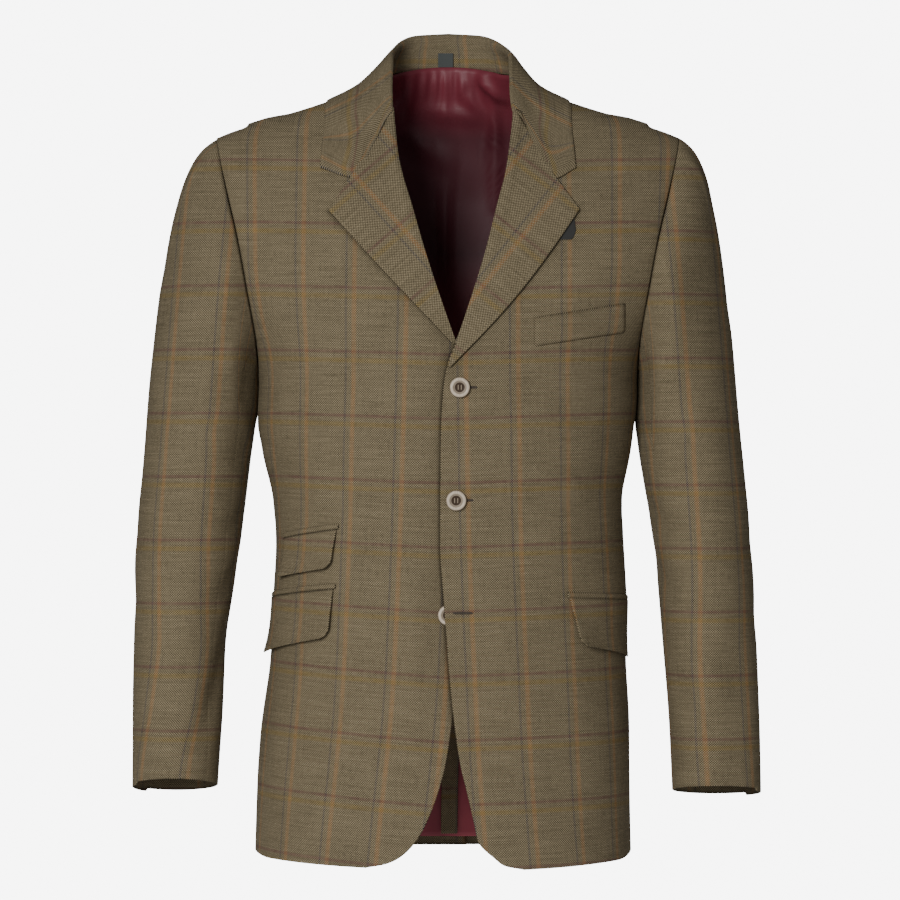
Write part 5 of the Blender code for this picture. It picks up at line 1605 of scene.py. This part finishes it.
def turned_button(name):
    outline = bmesh.new()
    points = [outline.verts.new((radius, 0, z)) for radius, z in PROFILE]
    for a, b in zip(points, points[1:]):
        outline.edges.new((a, b))
    bmesh.ops.spin(outline, geom=outline.verts[:] + outline.edges[:], axis=(0, 0, 1), cent=(0, 0, 0),
                   steps=72, angle=2 * math.pi, use_duplicate=False)
    bmesh.ops.remove_doubles(outline, verts=outline.verts, dist=1e-6)
    bmesh.ops.recalc_face_normals(outline, faces=outline.faces)
    button = from_bmesh(name, outline)
    drills = bmesh.new()
    for x in (-HOLE_REACH, HOLE_REACH):
        for y in (-HOLE_REACH, HOLE_REACH):
            place = Matrix.Translation((x, y, DRILL_MIDDLE))
            bmesh.ops.create_cone(drills, cap_ends=True, segments=16, radius1=HOLE_RADIUS,
                                  radius2=HOLE_RADIUS, depth=DRILL_LENGTH, matrix=place)
    drill = from_bmesh("drills", drills)
    cut = button.modifiers.new("Drilled", "BOOLEAN")
    cut.object, cut.operation, cut.solver = drill, "DIFFERENCE", "EXACT"
    return settled(applied(button, drill))


def make_button(name, side, x, height):
    mesh = turned_button(name + "_horn")
    local = np.array([mesh.vertices[loop.vertex_index].co[:2] for loop in mesh.loops], dtype=np.float32)
    mesh.uv_layers.new(name="cloth").data.foreach_set("uv", local.ravel())
    mesh.transform(seat_of(side, x, height, BUTTON_SHANK))
    mesh.shade_smooth()
    mesh.set_sharp_from_angle(angle=SHARP_ANGLE)
    mesh.materials.clear()
    mesh.materials.append(HORN)
    return add_piece(linked(name + "_horn", mesh), "horn", name)


for name, seat in BUTTONS.items():
    print(make_button(name, *seat).name)

# %% [markdown]
# ## Thread
# Edges are picked with small stitches, and buttonholes are edged with close ones. Hundreds of equal
# stitches are work for Geometry Nodes: a path becomes a curve, the curve gets evenly spaced points,
# and each point an instance of one little bead, turned along the path and up from the cloth.

# %% A tree that sews stitches
STITCH_INPUTS = {"Float": "Spacing Length Width Height Turn Jitter", "Int": "Seed", "Material": "Thread"}


def stitch_tree():
    tree = bpy.data.node_groups.new("stitches", "GeometryNodeTree")
    tree.interface.new_socket("Paths", in_out="INPUT", socket_type="NodeSocketGeometry")
    for kind, names in STITCH_INPUTS.items():
        for name in names.split():
            tree.interface.new_socket(name, in_out="INPUT", socket_type="NodeSocket" + kind)
    tree.interface.new_socket("Stitches", in_out="OUTPUT", socket_type="NodeSocketGeometry")

    def add(kind, links, **settings):
        """Add a node. A link's source is a socket, a node whose first output is meant, or a value."""
        node = tree.nodes.new(kind)
        for key, value in settings.items():
            setattr(node, key, value)
        for key, source in links.items():
            if isinstance(source, bpy.types.Node):
                source = source.outputs[0]
            if isinstance(source, bpy.types.NodeSocket):
                tree.links.new(source, node.inputs[key])
            else:
                node.inputs[key].default_value = source
        return node

    given = add("NodeGroupInput", {}).outputs
    curve = add("GeometryNodeMeshToCurve", {"Mesh": given["Paths"]})
    points = add("GeometryNodeResampleCurve", {"Curve": curve, "Length": given["Spacing"]}, mode="LENGTH")
    tangent = add("GeometryNodeInputTangent", {})
    up = add("GeometryNodeInputNamedAttribute", {"Name": "up"}, data_type="FLOAT_VECTOR")
    along = add("FunctionNodeAlignRotationToVector", {"Vector": tangent}, axis="X")
    flat = add("FunctionNodeAlignRotationToVector", {"Rotation": along, "Vector": up},
               axis="Z", pivot_axis="X")
    least = add("ShaderNodeMath", {0: given["Jitter"], 1: -1.0}, operation="MULTIPLY")
    stray = add("FunctionNodeRandomValue", {2: least, 3: given["Jitter"], "Seed": given["Seed"]})
    angle = add("ShaderNodeMath", {0: given["Turn"], 1: stray.outputs[1]}, operation="ADD")
    spin = add("ShaderNodeCombineXYZ", {2: angle})
    turn = add("FunctionNodeEulerToRotation", {0: spin})
    facing = add("FunctionNodeRotateRotation", {0: flat, 1: turn}, rotation_space="LOCAL")
    bead = add("GeometryNodeMeshUVSphere", {"Segments": 8, "Rings": 5, "Radius": 0.5})
    size = add("ShaderNodeCombineXYZ", {0: given["Length"], 1: given["Width"], 2: given["Height"]})
    sewn = add("GeometryNodeInstanceOnPoints", {"Points": points, "Instance": bead, "Rotation": facing,
                                                "Scale": size})
    real = add("GeometryNodeRealizeInstances", {0: sewn})
    done = add("GeometryNodeSetMaterial", {"Geometry": real, "Material": given["Thread"]})
    add("NodeGroupOutput", {0: done})
    return tree


STITCHES = stitch_tree()


def sew(name, paths, slot, **values):
    """Sew stitches along paths of (points, up directions) and return them as a plain mesh piece."""
    points, ups = (np.concatenate(parts) for parts in zip(*paths))
    edges, start = [], 0
    for path, _ in paths:
        edges += [(start + i, start + i + 1) for i in range(len(path) - 1)]
        start += len(path)
    mesh = bpy.data.meshes.new(name + "_paths")
    mesh.from_pydata(points.tolist(), edges, [])
    up = mesh.attributes.new("up", "FLOAT_VECTOR", "POINT")
    up.data.foreach_set("vector", ups.astype(np.float32).ravel())
    holder = linked(name + "_paths", mesh)
    work = holder.modifiers.new("Stitches", "NODES")
    work.node_group = STITCHES
    for socket in STITCHES.interface.items_tree:
        if socket.name in values:
            work[socket.identifier] = values[socket.name]
    sewn = applied(holder)
    for attribute in [a.name for a in sewn.attributes if a.name in ("up", "UVMap")]:
        sewn.attributes.remove(sewn.attributes[attribute])
    sewn.shade_smooth()
    sewn.name = name
    print(name, "stitch faces:", len(sewn.polygons))
    return add_piece(linked(name, sewn), slot)


print("nodes of the stitch tree:", len(STITCHES.nodes))

# %% Edge stitching
STITCH_LIFT, EDGE_INSET = 0.0002, 0.004


def inset_path(name, rim, inset, first=0.0, last=1.0):
    """A path this far inside one rim of a cloth piece, and the directions up from its cloth."""
    face, back = GRIDS[name]
    if rim in ("top", "low"):
        face, back = face.swapaxes(0, 1), back.swapaxes(0, 1)
    if rim in ("end", "low"):
        face, back = face[:, ::-1], back[:, ::-1]
    walk = walked(face, 1)
    after = np.clip(np.argmax(walk >= inset, axis=1), 1, face.shape[1] - 1)
    row = np.arange(len(face))
    near, far = walk[row, after - 1], walk[row, after]
    share = np.clip((inset - near) / np.maximum(far - near, TINY), 0, 1)[:, None]
    on_face, on_back = (g[row, after - 1] + (g[row, after] - g[row, after - 1]) * share for g in (face, back))
    up = unit(on_face - on_back)
    chosen = slice(int(first * len(row)), max(int(last * len(row)), 2))
    return (on_face + STITCH_LIFT * up)[chosen], up[chosen]


# the piece, its rim, how far inside, and the share of the rim that is sewn
EDGE_ROWS = [("collar_cloth", "end", EDGE_INSET, 0.01, 0.99), ("collar_cloth", "start", 0.027, 0.25, 0.75),
             ("collar_cloth", "start", 0.021, 0.25, 0.75)]
for name in ("left", "right"):
    EDGE_ROWS += [(f"front_{name}_cloth", "start", EDGE_INSET, 0.56, 0.999),
                  (f"lapel_{name}_cloth", "end", EDGE_INSET, 0.02, 0.98),
                  (f"back_{name}_cloth", "end", EDGE_INSET, 0.14, 0.55)]
for name in FLAPS:
    EDGE_ROWS += [(f"{name}_flap_cloth", "low", EDGE_INSET, 0.05, 1.0),
                  (f"{name}_flap_cloth", "start", EDGE_INSET, 0.0, 0.9)]
EDGE_ROWS += [("breast_welt_cloth", "top", EDGE_INSET)]
sew("edge_stitches", [inset_path(*row) for row in EDGE_ROWS], "tweed", Spacing=0.0055, Length=0.0022,
    Width=0.0006, Height=0.0004, Jitter=0.12, Turn=0.0, Seed=3, Thread=KHAKI_THREAD)

# %% Buttonholes and button thread
HOLE_LENGTH, HOLE_LIP, SLIT_LIP, HOLE_BEFORE, HOLE_LIFT = 0.0185, 0.0007, 0.0001, 0.002, 0.0003
HOLE_POINTS, THREAD_POINTS, THREAD_HEIGHT = 40, 5, 0.0023
HOLES = [(0.0114, -0.289), (0.0080, -0.399), (0.0072, -0.509)]


def squared(wave):
    """A wave with blunter ends."""
    return np.sign(wave) * np.abs(wave) ** 0.5


def buttonhole_paths(half_height):
    turn = np.linspace(0, 2 * np.pi, HOLE_POINTS)
    paths = []
    for x, height in HOLES:
        along = x - HOLE_BEFORE + HOLE_LENGTH / 2 + HOLE_LENGTH / 2 * squared(np.cos(turn))
        points = on_front(LEFT, along, height + half_height * squared(np.sin(turn)), HOLE_LIFT)
        paths.append((points, outward(points)))
    return paths


def button_thread_paths():
    paths = []
    for side, x, height in BUTTONS.values():
        seat = seat_of(side, x, height, BUTTON_SHANK)
        up = np.tile(seat.to_3x3() @ Vector((0, 0, 1)), (THREAD_POINTS, 1))
        for across in (-HOLE_REACH, HOLE_REACH):
            steps = np.linspace(-HOLE_REACH, HOLE_REACH, THREAD_POINTS)
            paths.append((np.array([seat @ Vector((across, along, THREAD_HEIGHT)) for along in steps]), up))
    return paths


sew("buttonhole_stitches", buttonhole_paths(HOLE_LIP), "tweed", Spacing=0.0007, Length=0.0017, Width=0.0006,
    Height=0.0005, Jitter=0.1, Turn=math.pi / 2, Seed=5, Thread=BROWN_THREAD)
sew("buttonhole_slits", buttonhole_paths(SLIT_LIP), "tweed", Spacing=0.0012, Length=0.0024, Width=0.0005,
    Height=0.0004, Jitter=0.0, Turn=0.0, Seed=6, Thread=BROWN_THREAD)
sew("button_thread", button_thread_paths(), "horn", Spacing=0.0009, Length=0.0022, Width=0.0011,
    Height=0.0007, Jitter=0.1, Turn=0.0, Seed=8, Thread=PALE_THREAD)

# %% [markdown]
# ## Setting, light and camera
# A bright white wall stands far behind the jacket, so it fills the picture without lighting the
# edges of the cloth. One large soft light stands near the camera, so the front is even and the sides
# fall away darker, and another serves the views from behind. A long lens keeps the proportions true.

# %% Setting
FLOOR, FLOOR_RADIUS, FLOOR_TONE = -0.95, 1.5, (0.8, 0.8, 0.8)
WALL, WALL_HALF, WALL_TONE, WALL_GLOW = 6.6, 1.35, (0.9, 0.9, 0.9), 8.0
MIDDLE_HEIGHT, WORLD_STRENGTH = -0.35, 0.18
LENS, SENSOR, EYE = 200, 36, (0.002, -5.0, MIDDLE_HEIGHT)


def make_stage(name, points, colour, glow):
    """A flat sheet that is not part of the jacket: the floor, or the white wall behind."""
    mesh = bpy.data.meshes.new(name)
    mesh.from_pydata(points, [], [tuple(range(len(points)))])
    paper = Finish(name, Specular_IOR_Level=0.1, Emission_Strength=glow)
    place = paper.node("ShaderNodeTexCoord", {}, {}, "Object")
    tone = paper.mix(paper.noise(place, 3.0), tuple(0.97 * c for c in colour), colour)
    paper.put(paper.shader.inputs["Emission Color"], tone)
    mesh.materials.append(paper.surface(tone, 0.9))
    linked(name, mesh)


def add_light(name, place, target, size, watts):
    lamp = bpy.data.lights.new(name, "AREA")
    lamp.shape, lamp.size, lamp.size_y, lamp.energy = "RECTANGLE", *size, watts
    holder = linked(name, lamp)
    holder.location = place
    holder.rotation_euler = (Vector(target) - Vector(place)).to_track_quat("-Z", "Y").to_euler()
    holder.visible_camera = False


ring = np.linspace(0, 2 * np.pi, 48, endpoint=False)
make_stage("floor", [(FLOOR_RADIUS * math.cos(t), FLOOR_RADIUS * math.sin(t), FLOOR) for t in ring],
           FLOOR_TONE, 0.0)
make_stage("wall", [(x * WALL_HALF, WALL, z * WALL_HALF + MIDDLE_HEIGHT)
                    for x, z in ((-1, -1), (1, -1), (1, 1), (-1, 1))], WALL_TONE, WALL_GLOW)
add_light("front_softbox", (-1.1, -3.5, 0.35), (0, 0, MIDDLE_HEIGHT), (1.2, 1.2), 114)
add_light("fill_softbox", (1.0, -3.2, 0.0), (0, 0, -0.4), (1.0, 1.4), 6)
add_light("back_softbox", (0.0, 5.9, 0.5), (0, 0, MIDDLE_HEIGHT), (1.2, 1.2), 260)
world = bpy.data.worlds.new("white")
world.use_nodes = True
background = world.node_tree.nodes["Background"].inputs
background["Color"].default_value = (1, 1, 1, 1)
background["Strength"].default_value = WORLD_STRENGTH
bpy.context.scene.world = world
camera = bpy.data.cameras.new("camera")
camera.lens, camera.sensor_width = LENS, SENSOR
eye = linked("camera", camera)
eye.location, eye.rotation_euler = EYE, (math.pi / 2, 0, 0)
bpy.context.scene.camera = eye
